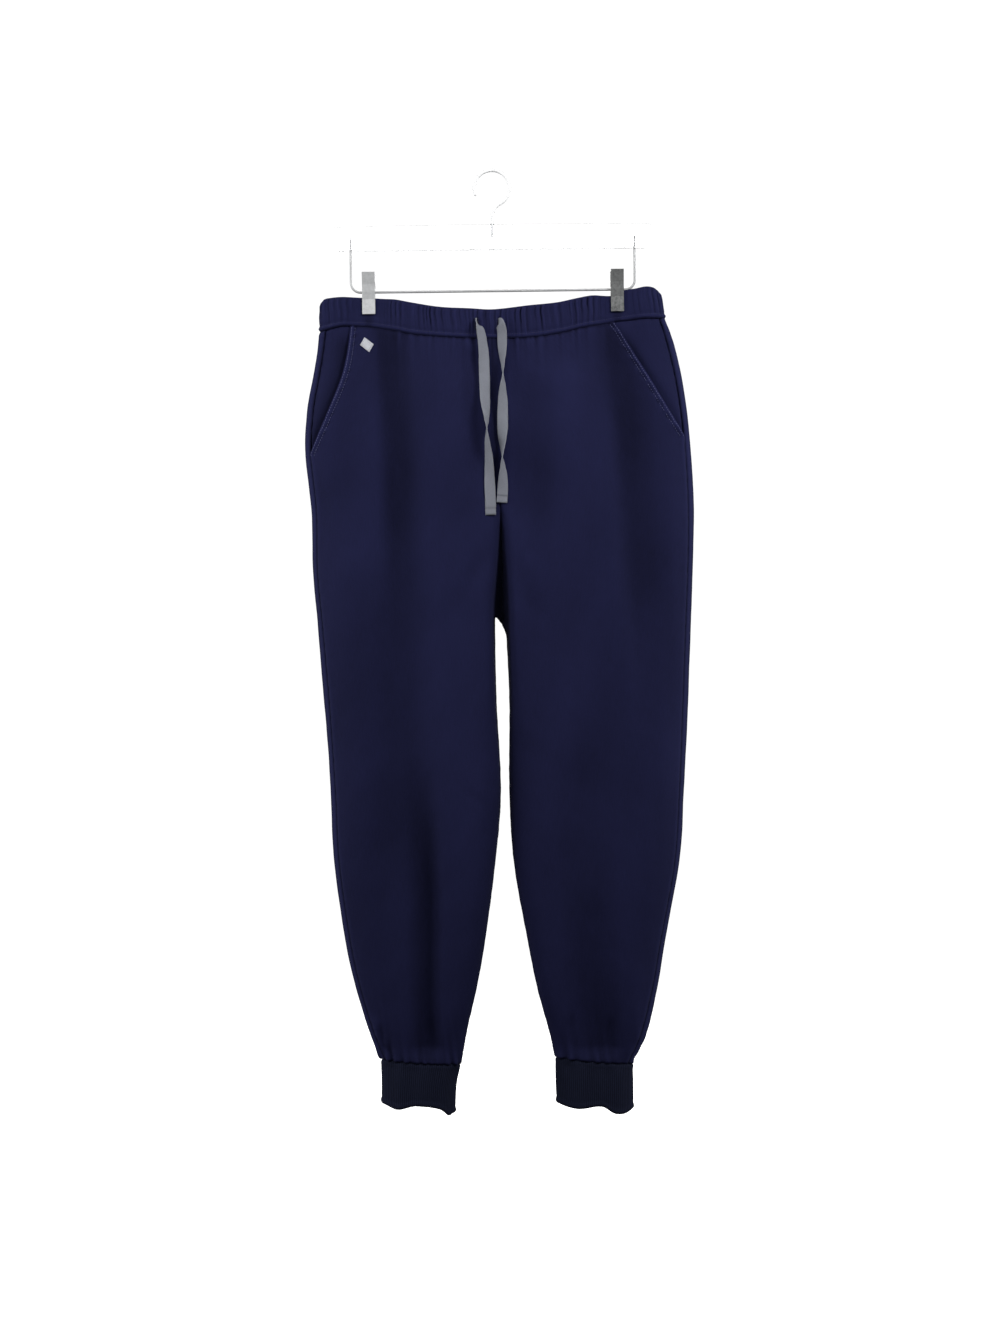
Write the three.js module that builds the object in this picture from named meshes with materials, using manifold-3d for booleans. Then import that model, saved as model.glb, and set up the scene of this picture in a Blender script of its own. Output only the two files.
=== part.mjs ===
// Scrub joggers hung by the waistband from a clear bar hanger with two spring clips: an elasticated
// waistband with a flat drawstring, slanted front pockets, tapered legs and rib-knit cuffs.
// Millimetres. +X is the wearer's left, -Y is the front, +Z is up.
// The origin is the inside top of the hanger's hook.
import * as THREE from "three";
import { mergeVertices } from "three/addons/utils/BufferGeometryUtils.js";
import Module from "manifold-3d";

const wasm = await Module();
wasm.setup();

// ---------- driving dimensions ----------

const CLOTH = 1.6; // wall of the leg panels
const FACING = 1.2; // wall of the pocket facings
const RIB = 2.2; // wall of the knitted cuffs
const SEAM = 0.3; // gap between two sewn pieces
const BAND = { proud: 0.9, wall: 3 }; // the doubled band, and how far it stands out past the panels
const HEIGHT = { waist: -200, fork: -413, backFork: -470, crotch: -560, knee: -672, cuff: -1101, hem: -1157 };
const ARCH = 26; // height of the rounded arch where the two legs part
const CROTCH_BACK = 18; // how far behind the mid-plane the crotch point lies
const CROTCH_SHARE = { bottom: 0.12, bridge: 0.07 }; // the share of half a section that the crotch rounds
const ARC_POWER = { body: 4, leg: 2.7, shin: 2.4, thigh: 6 }; // the higher, the squarer the section
const SEAM_INSET = 6.5; // the side seams lie this far inside the outline, on the front
const PINCHED = 2.4; // half the space between front and back under a clip
const TAPE = { width: 13.3, thick: 1.2, steps: 48, slotWide: 2.6, slotTall: 15.4, slotDeep: 16 };
const LABEL = { x: -155, z: -213.2, long: 15.6, tall: 11.7, turn: -38, thick: 0.8 };
const HANGER = {
  tilt: -0.012,
  barLong: 394,
  barTop: -65,
  barTall: 31,
  barThick: 10,
  barCorner: 7,
  barRound: 4,
  bevel: 1,
  rise: 1.5,
  wire: 1.5,
  hookWire: 2,
  hookBend: 22,
  crookLow: -56,
  crookHigh: -50,
  railDrop: 82.5,
  railHalf: 176,
  railBend: 12,
  socketDeep: 16,
  clipX: 154,
};
const CLIP = {
  wide: 16,
  sheet: 1.2,
  top: 24,
  jaw: 27.5,
  ear: 4.6,
  earSheet: 1,
  earOff: 3.2,
  earTall: 8,
  frontEars: 7.4,
  backEars: 6,
  springWall: 1.5,
  springHalf: 4.6,
};
const SIDES = { rod: 5, hole: 16, ring: 16 }; // segments of the round pieces

// ---------- tables: one row for each section or fold ----------

// Height, and how far the cloth stands in front of and behind the mid-plane.
const DEPTHS = [
  { z: -140, front: 15, back: 15 },
  { z: -205, front: 17, back: 18 },
  { z: -270, front: 31, back: 38 },
  { z: -345, front: 39, back: 50 },
  { z: -430, front: 42, back: 50 },
  { z: -560, front: 43, back: 45 },
  { z: -700, front: 43, back: 42 },
  { z: -820, front: 42, back: 38 },
  { z: -930, front: 36, back: 33 },
  { z: -1040, front: 28, back: 27 },
  { z: -1110, front: 21, back: 21 },
];

// Height, and the x of each leg's outline: outside, and inside facing the other leg.
const LEGS = {
  right: [
    { z: -140, outer: -211, inner: 4.3 },
    { z: -200, outer: -213, inner: 4.3 },
    { z: -245, outer: -219, inner: 4.3 },
    { z: -295, outer: -227.5, inner: 4.3 },
    { z: -345, outer: -230, inner: 4.3 },
    { z: -420, outer: -222.5, inner: 4.3 },
    { z: -495, outer: -221, inner: 4.3 },
    { z: -560, outer: -215, inner: 4.3 },
    { z: -655, outer: -206.5, inner: 6.8 },
    { z: -770, outer: -198.5, inner: 11.8 },
    { z: -855, outer: -194, inner: 4.3 },
    { z: -955, outer: -180, inner: -8.7 },
    { z: -1010, outer: -168, inner: -18.5 },
    { z: -1060, outer: -153, inner: -29.8 },
    { z: -1101, outer: -137, inner: -37 },
  ],
  left: [
    { z: -140, outer: 214, inner: 19.2 },
    { z: -200, outer: 221, inner: 19.2 },
    { z: -245, outer: 232.5, inner: 19.2 },
    { z: -295, outer: 241, inner: 19.2 },
    { z: -345, outer: 246, inner: 19.2 },
    { z: -420, outer: 249.5, inner: 19.2 },
    { z: -495, outer: 248.5, inner: 19.2 },
    { z: -560, outer: 246, inner: 19.2 },
    { z: -655, outer: 242.5, inner: 22.7 },
    { z: -770, outer: 238, inner: 22.9 },
    { z: -855, outer: 232.3, inner: 28.2 },
    { z: -955, outer: 214.5, inner: 45.8 },
    { z: -1010, outer: 205, inner: 57 },
    { z: -1070, outer: 190, inner: 73 },
    { z: -1101, outer: 176, inner: 79 },
  ],
};

// The seam down the middle of the front and back, to the crotch point.
const CENTRE = [
  { z: -140, x: -1 },
  { z: -300, x: 1 },
  { z: -413, x: 8 },
  { z: -560, x: 12 },
];

// The waistband's top edge and its seam with the panels, from side to side.
const WAIST = [
  { x: -213, top: -167, seam: -198.5 },
  { x: -182, top: -156.5, seam: -192.5 },
  { x: -150, top: -157, seam: -193.5 },
  { x: -98, top: -164.5, seam: -203.5 },
  { x: 2, top: -172.5, seam: -209 },
  { x: 55, top: -166.5, seam: -206.5 },
  { x: 110, top: -158.5, seam: -197 },
  { x: 156, top: -153.5, seam: -187 },
  { x: 186, top: -144.5, seam: -183.5 },
  { x: 220, top: -144.5, seam: -182 },
];

// How much of the clips' pinch is left at each height.
const PINCH = [
  { z: -140, share: 1, half: 27 },
  { z: -176, share: 1, half: 27 },
  { z: -192, share: 0.76, half: 28 },
  { z: -225, share: 0.46, half: 32 },
  { z: -300, share: 0.2, half: 40 },
  { z: -400, share: 0.07, half: 46 },
  { z: -500, share: 0, half: 50 },
];

// Where each front panel is cut away for its pocket, from the waistband to the side seam.
const POCKETS = {
  right: [
    { z: -190, x: -174 },
    { z: -250, x: -182.5 },
    { z: -300, x: -201 },
    { z: -357, x: -226 },
  ],
  left: [
    { z: -186, x: 147 },
    { z: -200, x: 155.5 },
    { z: -244, x: 184 },
    { z: -302, x: 220 },
    { z: -334, x: 241 },
  ],
};

// Soft folds: the height and x of their ends and their middle, their half width, and how deep they sink.
const FOLD_ENDS = { top: 0.25, end: 0.2 }; // the share of a fold's length over which it fades
const FOLDS = {
  front: [
    { top: -235, end: -640, x0: -134, x1: -126, x2: -108, half: 22, sink: 5 },
    { top: -560, end: -1090, x0: -114, x1: -84, x2: -84, half: 17, sink: 7 },
    { top: -215, end: -400, x0: -22, x1: -20, x2: -14, half: 13, sink: 3.5 },
    { top: -230, end: -540, x0: 160, x1: 164, x2: 150, half: 24, sink: 5 },
    { top: -860, end: -1098, x0: 128, x1: 134, x2: 132, half: 22, sink: 6 },
    { top: -600, end: -980, x0: 92, x1: 84, x2: 98, half: 34, sink: -4 },
    { top: -420, end: -900, x0: -50, x1: -44, x2: -42, half: 34, sink: -4 },
  ],
  back: [
    { top: -230, end: -560, x0: -146, x1: -134, x2: -118, half: 24, sink: 6 },
    { top: -235, end: -590, x0: 152, x1: 148, x2: 138, half: 26, sink: 6 },
    { top: -540, end: -1085, x0: -92, x1: -104, x2: -92, half: 20, sink: 6 },
    { top: -560, end: -1090, x0: 122, x1: 138, x2: 122, half: 22, sink: 6 },
    { top: -700, end: -1000, x0: -46, x1: -50, x2: -52, half: 26, sink: -3 },
    { top: -470, end: -760, x0: 66, x1: 70, x2: 84, half: 34, sink: -4 },
  ],
};

// The cuffs' outline at three heights, their seam with the leg, and the droop of their hem from outside
// to inside.
const CUFFS = {
  right: {
    rows: [
      { z: -1101, outer: -136.5, inner: -37.5, depth: 21 },
      { z: -1128, outer: -135.5, inner: -43.5, depth: 22.5 },
      { z: -1170, outer: -136, inner: -46, depth: 22 },
    ],
    seam: { outer: -1099.5, inner: -1105.5 },
    droop: [
      { at: 0, drop: -3.5 },
      { at: 0.22, drop: 2.6 },
      { at: 0.48, drop: -2 },
      { at: 0.8, drop: 2.6 },
      { at: 0.94, drop: 11.5 },
      { at: 1, drop: 9 },
    ],
  },
  left: {
    rows: [
      { z: -1101, outer: 175.5, inner: 79.5, depth: 21 },
      { z: -1128, outer: 176, inner: 80, depth: 22.5 },
      { z: -1170, outer: 176, inner: 82, depth: 22 },
    ],
    seam: { outer: -1104.5, inner: -1096.5 },
    droop: [
      { at: 0, drop: 4 },
      { at: 0.12, drop: 8 },
      { at: 0.26, drop: 7 },
      { at: 0.42, drop: -1.5 },
      { at: 0.75, drop: 1.6 },
      { at: 1, drop: -3.5 },
    ],
  },
};

// The drawstring's two free ends, from inside the band to the hemmed tip: the middle of the tape,
// how far it stands out from the cloth, and which way its width points.
// turn: degrees about the upright, 0 flat to the cloth and 90 edge on.
// lean: degrees that the width is raised.
const TAPES = {
  right: [
    { x: -18.6, z: -190.5, out: -4.5, turn: 0, lean: 90 },
    { x: -18.6, z: -190.5, out: 0, turn: 0, lean: 90 },
    { x: -18.4, z: -190.2, out: 2.6, turn: 12, lean: 84 },
    { x: -17.6, z: -190.6, out: 5.4, turn: 30, lean: 62 },
    { x: -16.2, z: -193, out: 7.6, turn: 40, lean: 44 },
    { x: -14.4, z: -197, out: 7.6, turn: 40, lean: 26 },
    { x: -12.6, z: -203, out: 6.4, turn: 36, lean: 10 },
    { x: -11.2, z: -210, out: 5.6, turn: 33, lean: 0 },
    { x: -10, z: -222, out: 5, turn: 26, lean: 0 },
    { x: -9.2, z: -238, out: 4, turn: 12, lean: 0 },
    { x: -8.6, z: -256, out: 3, turn: 4, lean: 0 },
    { x: -8, z: -274, out: 3.6, turn: 14, lean: 0 },
    { x: -7.4, z: -292, out: 5.8, turn: 34, lean: 0 },
    { x: -6.4, z: -308, out: 8, turn: 62, lean: 0 },
    { x: -5.6, z: -323, out: 8.8, turn: 92, lean: 0 },
    { x: -4.8, z: -338, out: 8.2, turn: 116, lean: 0 },
    { x: -3.8, z: -352, out: 6.6, turn: 132, lean: 0 },
    { x: -2.9, z: -368, out: 5.6, turn: 146, lean: 0 },
    { x: -2.1, z: -386, out: 4.2, turn: 166, lean: 0 },
    { x: -1.3, z: -406, out: 3, turn: 178, lean: 0 },
    { x: -0.8, z: -428, out: 2.8, turn: 180, lean: 0 },
  ],
  left: [
    { x: 9.2, z: -190, out: -4.5, turn: 0, lean: 90 },
    { x: 9.2, z: -190, out: 0, turn: 0, lean: 90 },
    { x: 9.4, z: -189.8, out: 2.4, turn: -10, lean: 84 },
    { x: 10, z: -190.2, out: 4.8, turn: -24, lean: 64 },
    { x: 11, z: -192.6, out: 6.6, turn: -34, lean: 46 },
    { x: 12, z: -197, out: 6.8, turn: -34, lean: 28 },
    { x: 12.8, z: -203, out: 6, turn: -30, lean: 12 },
    { x: 13.2, z: -211, out: 5.2, turn: -27, lean: 0 },
    { x: 13.6, z: -222, out: 5.6, turn: -40, lean: 0 },
    { x: 14, z: -238, out: 7.8, turn: -68, lean: 0 },
    { x: 14.3, z: -254, out: 8.6, turn: -92, lean: 0 },
    { x: 14.2, z: -270, out: 7.6, turn: -122, lean: 0 },
    { x: 13.9, z: -286, out: 5, turn: -150, lean: 0 },
    { x: 13.7, z: -302, out: 3.6, turn: -166, lean: 0 },
    { x: 13.6, z: -318, out: 4.2, turn: -188, lean: 0 },
    { x: 13.5, z: -336, out: 7, turn: -226, lean: 0 },
    { x: 13.6, z: -355, out: 8.8, turn: -266, lean: 0 },
    { x: 13.9, z: -372, out: 7.2, turn: -304, lean: 0 },
    { x: 14.2, z: -388, out: 4.4, turn: -334, lean: 0 },
    { x: 13.6, z: -401, out: 3, turn: -350, lean: 0 },
    { x: 12.7, z: -413, out: 2.8, turn: -356, lean: 0 },
  ],
};

// ---------- small tools ----------

const clamp = (v, low = 0, high = 1) => Math.min(high, Math.max(low, v));
const mix = (a, b, share) => a + (b - a) * share;
const smooth = (from, to, v) => {
  const t = clamp((v - from) / (to - from));
  return t * t * (3 - 2 * t);
};

// Reads one column of a table at a height or place between its rows, on a smooth curve through them.
function read(rows, column, at, key = "z") {
  const rising = rows.at(-1)[key] > rows[0][key];
  const k = rows.map((row) => (rising ? row[key] : -row[key]));
  const v = rows.map((row) => row[column]);
  const t = clamp(rising ? at : -at, k[0], k.at(-1));
  let i = 0;
  while (i < k.length - 2 && t > k[i + 1]) i++;
  const slope = (n) => {
    const a = Math.max(0, n - 1);
    const b = Math.min(k.length - 1, n + 1);
    return (v[b] - v[a]) / (k[b] - k[a]);
  };
  const h = k[i + 1] - k[i];
  const u = (t - k[i]) / h;
  const w = u * u * (3 - 2 * u);
  return (
    mix(v[i], v[i + 1], w) + h * (u * (1 - u) ** 2 * slope(i) - u * u * (1 - u) * slope(i + 1))
  );
}

function closedGeometry(points, faces) {
  const g = new THREE.BufferGeometry();
  g.setAttribute("position", new THREE.Float32BufferAttribute(points.flatMap((p) => p.toArray()), 3));
  g.setIndex(faces);
  const merged = mergeVertices(g, 1e-4);
  const kept = [];
  for (let n = 0; n < faces.length; n += 3) {
    const [a, b, c] = merged.index.array.slice(n, n + 3);
    if (a !== b && b !== c && c !== a) kept.push(a, b, c);
  }
  return facingOut(merged.setIndex(kept));
}

// Turns every face round if the solid's signed volume is negative.
function facingOut(g) {
  const p = g.attributes.position;
  const i = g.index.array;
  const [a, b, c] = [new THREE.Vector3(), new THREE.Vector3(), new THREE.Vector3()];
  let volume = 0;
  for (let n = 0; n < i.length; n += 3) {
    a.fromBufferAttribute(p, i[n]);
    b.fromBufferAttribute(p, i[n + 1]);
    c.fromBufferAttribute(p, i[n + 2]);
    volume += a.dot(b.cross(c));
  }
  if (volume < 0) for (let n = 0; n < i.length; n += 3) [i[n + 1], i[n + 2]] = [i[n + 2], i[n + 1]];
  return g;
}

// A closed wall from two grids of points: outside[row][column] and inside[row][column].
// A ring's last column joins its first.
function wall(outside, inside, ring = false) {
  const rows = outside.length;
  const columns = outside[0].length;
  const points = [...outside.flat(), ...inside.flat()];
  const out = (r, c) => r * columns + (c % columns);
  const inn = (r, c) => rows * columns + out(r, c);
  const faces = [];
  const quad = (a, b, c, d) => faces.push(a, b, c, a, c, d);
  const last = ring ? columns : columns - 1;
  for (let r = 0; r < rows - 1; r++) {
    for (let c = 0; c < last; c++) {
      quad(out(r, c), out(r, c + 1), out(r + 1, c + 1), out(r + 1, c));
      quad(inn(r, c), inn(r + 1, c), inn(r + 1, c + 1), inn(r, c + 1));
    }
    if (!ring) {
      quad(out(r, 0), out(r + 1, 0), inn(r + 1, 0), inn(r, 0));
      quad(out(r, last), inn(r, last), inn(r + 1, last), out(r + 1, last));
    }
  }
  for (let c = 0; c < last; c++) {
    quad(out(0, c), inn(0, c), inn(0, c + 1), out(0, c + 1));
    quad(out(rows - 1, c), out(rows - 1, c + 1), inn(rows - 1, c + 1), inn(rows - 1, c));
  }
  return closedGeometry(points, faces);
}

function solidOf(geometry) {
  const bare = geometry.clone();
  bare.deleteAttribute("normal");
  bare.deleteAttribute("uv");
  const g = mergeVertices(bare, 1e-4);
  return new wasm.Manifold(
    new wasm.Mesh({
      numProp: 3,
      vertProperties: new Float32Array(g.attributes.position.array),
      triVerts: new Uint32Array(g.index.array),
    }),
  );
}

function geometryOf(solid) {
  const mesh = solid.getMesh();
  const g = new THREE.BufferGeometry();
  g.setAttribute("position", new THREE.BufferAttribute(mesh.vertProperties, 3));
  g.setIndex(new THREE.BufferAttribute(mesh.triVerts, 1));
  return g;
}

const moved = (g, x, y, z) => g.clone().translate(x, y, z);

// ---------- the cloth's shape ----------

const SIGN = { right: -1, left: 1 };

// How open the cleft between the legs is at a height, from 0 at its top to 1 at the crotch: its walls, and
// the seam at its bottom, which rounds under the crotch.
function cleft(front, z) {
  const top = front ? HEIGHT.fork : HEIGHT.backFork;
  const down = clamp((top - z) / (top - HEIGHT.crotch));
  return { walls: smooth(0, 1, down), bottom: 1 - Math.sqrt(1 - down ** 1.1) };
}

// Where a clip stands across the part, on the tilted hanger.
const clipAt = (side) => SIGN[side] * HANGER.clipX + HANGER.tilt * (HANGER.barTop - HANGER.railDrop);

function clipPinch(x, z) {
  const share = read(PINCH, "share", z);
  const half = read(PINCH, "half", z);
  const power = 2 + 2 * smooth(-230, -180, z);
  const from = (clip) => Math.exp(-((Math.abs(x - clip) / half) ** power));
  return share * Math.max(from(clipAt("right")), from(clipAt("left")));
}

function foldSink(front, x, z) {
  let sink = 0;
  for (const fold of FOLDS[front ? "front" : "back"]) {
    const along = clamp((fold.top - z) / (fold.top - fold.end));
    const line =
      mix(mix(fold.x0, fold.x1, clamp(2 * along)), mix(fold.x1, fold.x2, clamp(2 * along - 1)), along);
    const ends = smooth(0, FOLD_ENDS.top, along) * (1 - smooth(1 - FOLD_ENDS.end, 1, along));
    sink += fold.sink * ends * Math.exp(-(((x - line) / fold.half) ** 2));
  }
  return sink;
}

// A point of the cloth. around runs from 0 at the inner edge over the front to 1 at the outline,
// and on over the back to 2 at the inner edge again.
function skin(side, around, z) {
  const front = around <= 1;
  const b = front ? around : 2 - around;
  const across = (1 - Math.cos(Math.PI * b)) / 2;
  const outer = read(LEGS[side], "outer", z);
  const inner = read(LEGS[side], "inner", z);
  const centre = read(CENTRE, "x", Math.max(z, HEIGHT.crotch));
  const { walls, bottom } = cleft(front, z);
  const open = mix(walls, bottom, clamp(1 - b / CROTCH_SHARE.bottom) ** 2);
  const parted = clamp((HEIGHT.crotch - z) / ARCH);
  const arch = z >= HEIGHT.crotch ? 1 : 1 - Math.sqrt(1 - (1 - parted) ** 2);
  const inside = mix(centre, inner, walls);
  const bridge = clamp(1 - b / CROTCH_SHARE.bridge) ** 2 * arch * (centre - inside);
  const x = inside + (outer - inside) * across + bridge;

  const apart = smooth(HEIGHT.fork + 60, HEIGHT.crotch - 60, z);
  const off = Math.abs(2 * across - 1);
  const innerPower = mix(ARC_POWER.shin, ARC_POWER.thigh, smooth(-900, HEIGHT.crotch, z));
  const bodyArc = Math.sqrt(1 - across ** ARC_POWER.body);
  const legArc = Math.sqrt(1 - off ** ARC_POWER.leg);
  const innerArc = Math.sqrt(1 - off ** innerPower);
  const wide = mix(bodyArc, across < 0.5 ? 1 : legArc, apart);
  const round = wide * (across < 0.5 ? 1 - open * (1 - innerArc) : 1);

  const depth = read(DEPTHS, front ? "front" : "back", z);
  const pinch = clipPinch(x, z);
  const full = depth * round - foldSink(front, x, z) * round ** 2;
  const stand = mix(full, PINCHED, pinch * Math.min(1, 2 * round));
  const back = CROTCH_BACK * walls * smooth(-720, HEIGHT.crotch, z) * (1 - round) * (1 - across) ** 2;
  return new THREE.Vector3(x, (front ? -stand : stand) + back, z);
}

// The way out of the cloth at a point.
function outward(side, around, z) {
  const step = 0.004;
  const rise = 1.5;
  const seamOfTwoSides = (around <= 0 || around >= 2) && z >= HEIGHT.crotch;
  if (seamOfTwoSides) {
    const up = skin(side, around, z + rise).sub(skin(side, around, z));
    const n = around <= 0 ? [0, -up.z, up.y] : [0, up.z, -up.y];
    return new THREE.Vector3(...n).normalize();
  }
  const wrap = (c) => (z < HEIGHT.crotch ? (c + 2) % 2 : clamp(c, 0, 2));
  const on = skin(side, wrap(around + step), z).sub(skin(side, wrap(around - step), z));
  const up = skin(side, around, z + rise).sub(skin(side, around, z - rise));
  return on.cross(up).multiplyScalar(SIGN[side]).normalize();
}

// The place on the front of a section whose x is given.
function aroundAt(side, x, z) {
  let low = 0;
  let high = 1;
  for (let n = 0; n < 40; n++) {
    const middle = (low + high) / 2;
    if (skin(side, middle, z).x * SIGN[side] < x * SIGN[side]) low = middle;
    else high = middle;
  }
  return low;
}

const sideSeam = (side, z) => aroundAt(side, read(LEGS[side], "outer", z) - SIGN[side] * SEAM_INSET, z);

// Where a front panel ends: at its pocket's edge, and below that at the side seam.
function frontEnd(side, z) {
  const pocket = POCKETS[side];
  const seam = sideSeam(side, z);
  return z < pocket.at(-1).z ? seam : Math.min(seam, aroundAt(side, read(pocket, "x", z), z));
}

// Heights of a panel's rows, closer together towards the crotch.
const QUARTER = Math.PI / 2;
const stretch = (from, to, steps, ease = (t) => t) =>
  Array.from({ length: steps }, (_, n) => mix(from, to, ease(n / steps)));
const LEVELS = [
  ...stretch(HEIGHT.waist, HEIGHT.fork, 9),
  ...stretch(HEIGHT.fork, HEIGHT.crotch, 8, (t) => Math.sin(QUARTER * t)),
  ...stretch(HEIGHT.crotch, HEIGHT.crotch - ARCH, 4, (t) => 1 - Math.cos(QUARTER * t)),
  ...stretch(HEIGHT.crotch - ARCH, HEIGHT.knee + SEAM / 2, 2),
  HEIGHT.knee + SEAM / 2,
  ...stretch(HEIGHT.knee - SEAM / 2, HEIGHT.cuff, 10),
  HEIGHT.cuff,
];

// Bends a level near the waist to the band's seam, and one near the cuff to the cuff's seam.
const BENT = { waist: 150, cuff: 60 };
function levelAt(side, level, x) {
  const { outer, inner } = CUFFS[side].seam;
  const [top] = CUFFS[side].rows;
  const across = clamp((x - top.outer) / (top.inner - top.outer));
  const waist = read(WAIST, "seam", x, "x") - SEAM - HEIGHT.waist;
  const cuff = mix(outer, inner, across) + SEAM - HEIGHT.cuff;
  const nearWaist = clamp((level - HEIGHT.waist + BENT.waist) / BENT.waist) ** 2;
  const nearCuff = clamp((HEIGHT.cuff + BENT.cuff - level) / BENT.cuff) ** 2;
  return level + waist * nearWaist + cuff * nearCuff;
}

// ---------- the cloth's pieces ----------

const COLUMNS = 12; // of a panel
const FACING_COLUMNS = 3; // of a pocket facing, from the pocket's edge to the side seam
const BAND_ROWS = 3;
const BAND_END = 0.003; // the share of a section by which the band's halves stop short of the side seams
const CUFF_GRID = { around: 24, levels: 3 };
const LABEL_CELLS = { wide: 4, tall: 3 };

// How far a panel reaches from its inner edge: a front one to its pocket or side seam, a back one round the
// outline to the same seam.
const reach = (side, front, level) => (front ? frontEnd(side, level) : 2 - sideSeam(side, level));

// Columns of a panel as shares from its inner edge to its outer one. Two beside each other move to the
// clip's edges, so that the cloth lies flat between its jaws.
function shares(side, front) {
  const z = HEIGHT.waist;
  const end = reach(side, front, z);
  const list = Array.from({ length: COLUMNS + 1 }, (_, n) => n / COLUMNS);
  const half = CLIP.wide / 2 + 1;
  const [near, far] = [-half, half].map((off) => aroundAt(side, clipAt(side) + SIGN[side] * off, z) / end);
  const column = Math.round(near * COLUMNS);
  if (far < 1) [list[column], list[column + 1]] = [near, far];
  return list;
}
const SHARES = {
  right: { front: shares("right", true), back: shares("right", false) },
  left: { front: shares("left", true), back: shares("left", false) },
};

// A point of the cloth at a row's level, bent to the waist and cuff seams, and the way out there.
function clothAt(side, around, level) {
  const z = levelAt(side, level, skin(side, around, level).x);
  return { point: skin(side, around, z), out: outward(side, around, z) };
}

function panelGrid(side, front) {
  return LEVELS.map((level) => {
    const end = reach(side, front, level);
    return SHARES[side][front ? "front" : "back"].map((share, column) => {
      const at = (b) => (front ? b : 2 - b);
      const spot = clothAt(side, at(share * end), level);
      const { point } = spot;
      const crotch = level === HEIGHT.crotch;
      if (column === 0 && level >= HEIGHT.crotch) point.x += SIGN[side] * SEAM * (crotch ? 1 : 0.5);
      if (column === 0 && level <= HEIGHT.crotch) point.y += (front ? -SEAM : SEAM) * (crotch ? 2 : 0.5);
      if (column === COLUMNS) {
        const inward = clothAt(side, at(share * end - 0.01), level).point.sub(point);
        point.addScaledVector(inward.normalize(), SEAM / 2);
      }
      return spot;
    });
  });
}

const pushed = (grid, distance) =>
  grid.map((row) => row.map(({ point, out }) => point.clone().addScaledVector(out, distance)));

const GRIDS = {
  right: { front: panelGrid("right", true), back: panelGrid("right", false) },
  left: { front: panelGrid("left", true), back: panelGrid("left", false) },
};

// A panel is one cut of cloth, held as two solids that part at the knee, so that collision follows the
// hollow of the leg.
function panel(grid, upper) {
  const rows = grid.filter((_, n) => LEVELS[n] > HEIGHT.knee === upper);
  return wall(pushed(rows, 0), pushed(rows, -CLOTH));
}

// How far round a pocket facing's columns lie, from one column inside the front panel's edge to the side
// seam.
function facingColumns(side, level) {
  const seam = sideSeam(side, level);
  const edge = frontEnd(side, level);
  const lap = SHARES[side].front.at(-2) * edge;
  const steps = stretch(seam, edge, FACING_COLUMNS).reverse();
  if (side === "left") {
    // This pocket starts under the clip, so a column moves to the clip's edge near the waist.
    const past = aroundAt(side, clipAt(side) + CLIP.wide / 2 + 1, HEIGHT.waist);
    steps[0] = mix(steps[0], past, smooth(-300, HEIGHT.waist, level));
  }
  return [lap, edge, ...steps];
}

// The cloth that shows behind a pocket's slanted edge, down to where the edge meets the side seam.
function pocketFacing(side) {
  const end = POCKETS[side].at(-1).z;
  const rows = LEVELS.findIndex((level) => level < end) + 1;
  const grid = LEVELS.slice(0, rows).map((level) =>
    facingColumns(side, level).map((around) => clothAt(side, around, level)),
  );
  const behind = -(CLOTH + SEAM);
  return wall(pushed(grid, behind), pushed(grid, behind - FACING));
}

// Half of the band: the front from side seam to side seam, or the back.
function waistband(front) {
  const level = HEIGHT.waist;
  const half = (side) => {
    const end = reach(side, front, level);
    const columns = SHARES[side][front ? "front" : "back"].map((share) => share * end);
    if (front) columns.push(...facingColumns(side, level).slice(2));
    columns[columns.length - 1] -= BAND_END;
    return columns.map((b) => ({ side, around: front ? b : 2 - b }));
  };
  const stations = [...half("right").reverse(), ...half("left").slice(1)];
  const grid = Array.from({ length: BAND_ROWS + 1 }, (_, row) =>
    stations.map(({ side, around }) => {
      const x = skin(side, around, level).x;
      const z = mix(read(WAIST, "top", x, "x"), read(WAIST, "seam", x, "x"), row / BAND_ROWS);
      return { point: skin(side, around, z), out: outward(side, around, z) };
    }),
  );
  return wall(pushed(grid, BAND.proud), pushed(grid, BAND.proud - BAND.wall));
}

function cuff(side) {
  const { rows, seam, droop } = CUFFS[side];
  const { around, levels } = CUFF_GRID;
  const grid = (inset) =>
    Array.from({ length: levels + 1 }, (_, level) =>
      Array.from({ length: around }, (_, n) => {
        const angle = (2 * Math.PI * n) / around;
        const share = (1 - Math.cos(angle)) / 2;
        const top = mix(seam.outer, seam.inner, share);
        const hem = HEIGHT.hem - read(droop, "drop", share, "at");
        const z = mix(top, hem, level / levels);
        const outer = read(rows, "outer", z);
        const inner = read(rows, "inner", z);
        const depth = read(rows, "depth", z) - inset;
        const half = Math.abs(outer - inner) / 2 - inset;
        const x = (outer + inner) / 2 + SIGN[side] * half * Math.cos(angle);
        return new THREE.Vector3(x, -depth * Math.sin(angle), z);
      }),
    );
  return wall(grid(0), grid(RIB), true);
}

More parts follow.
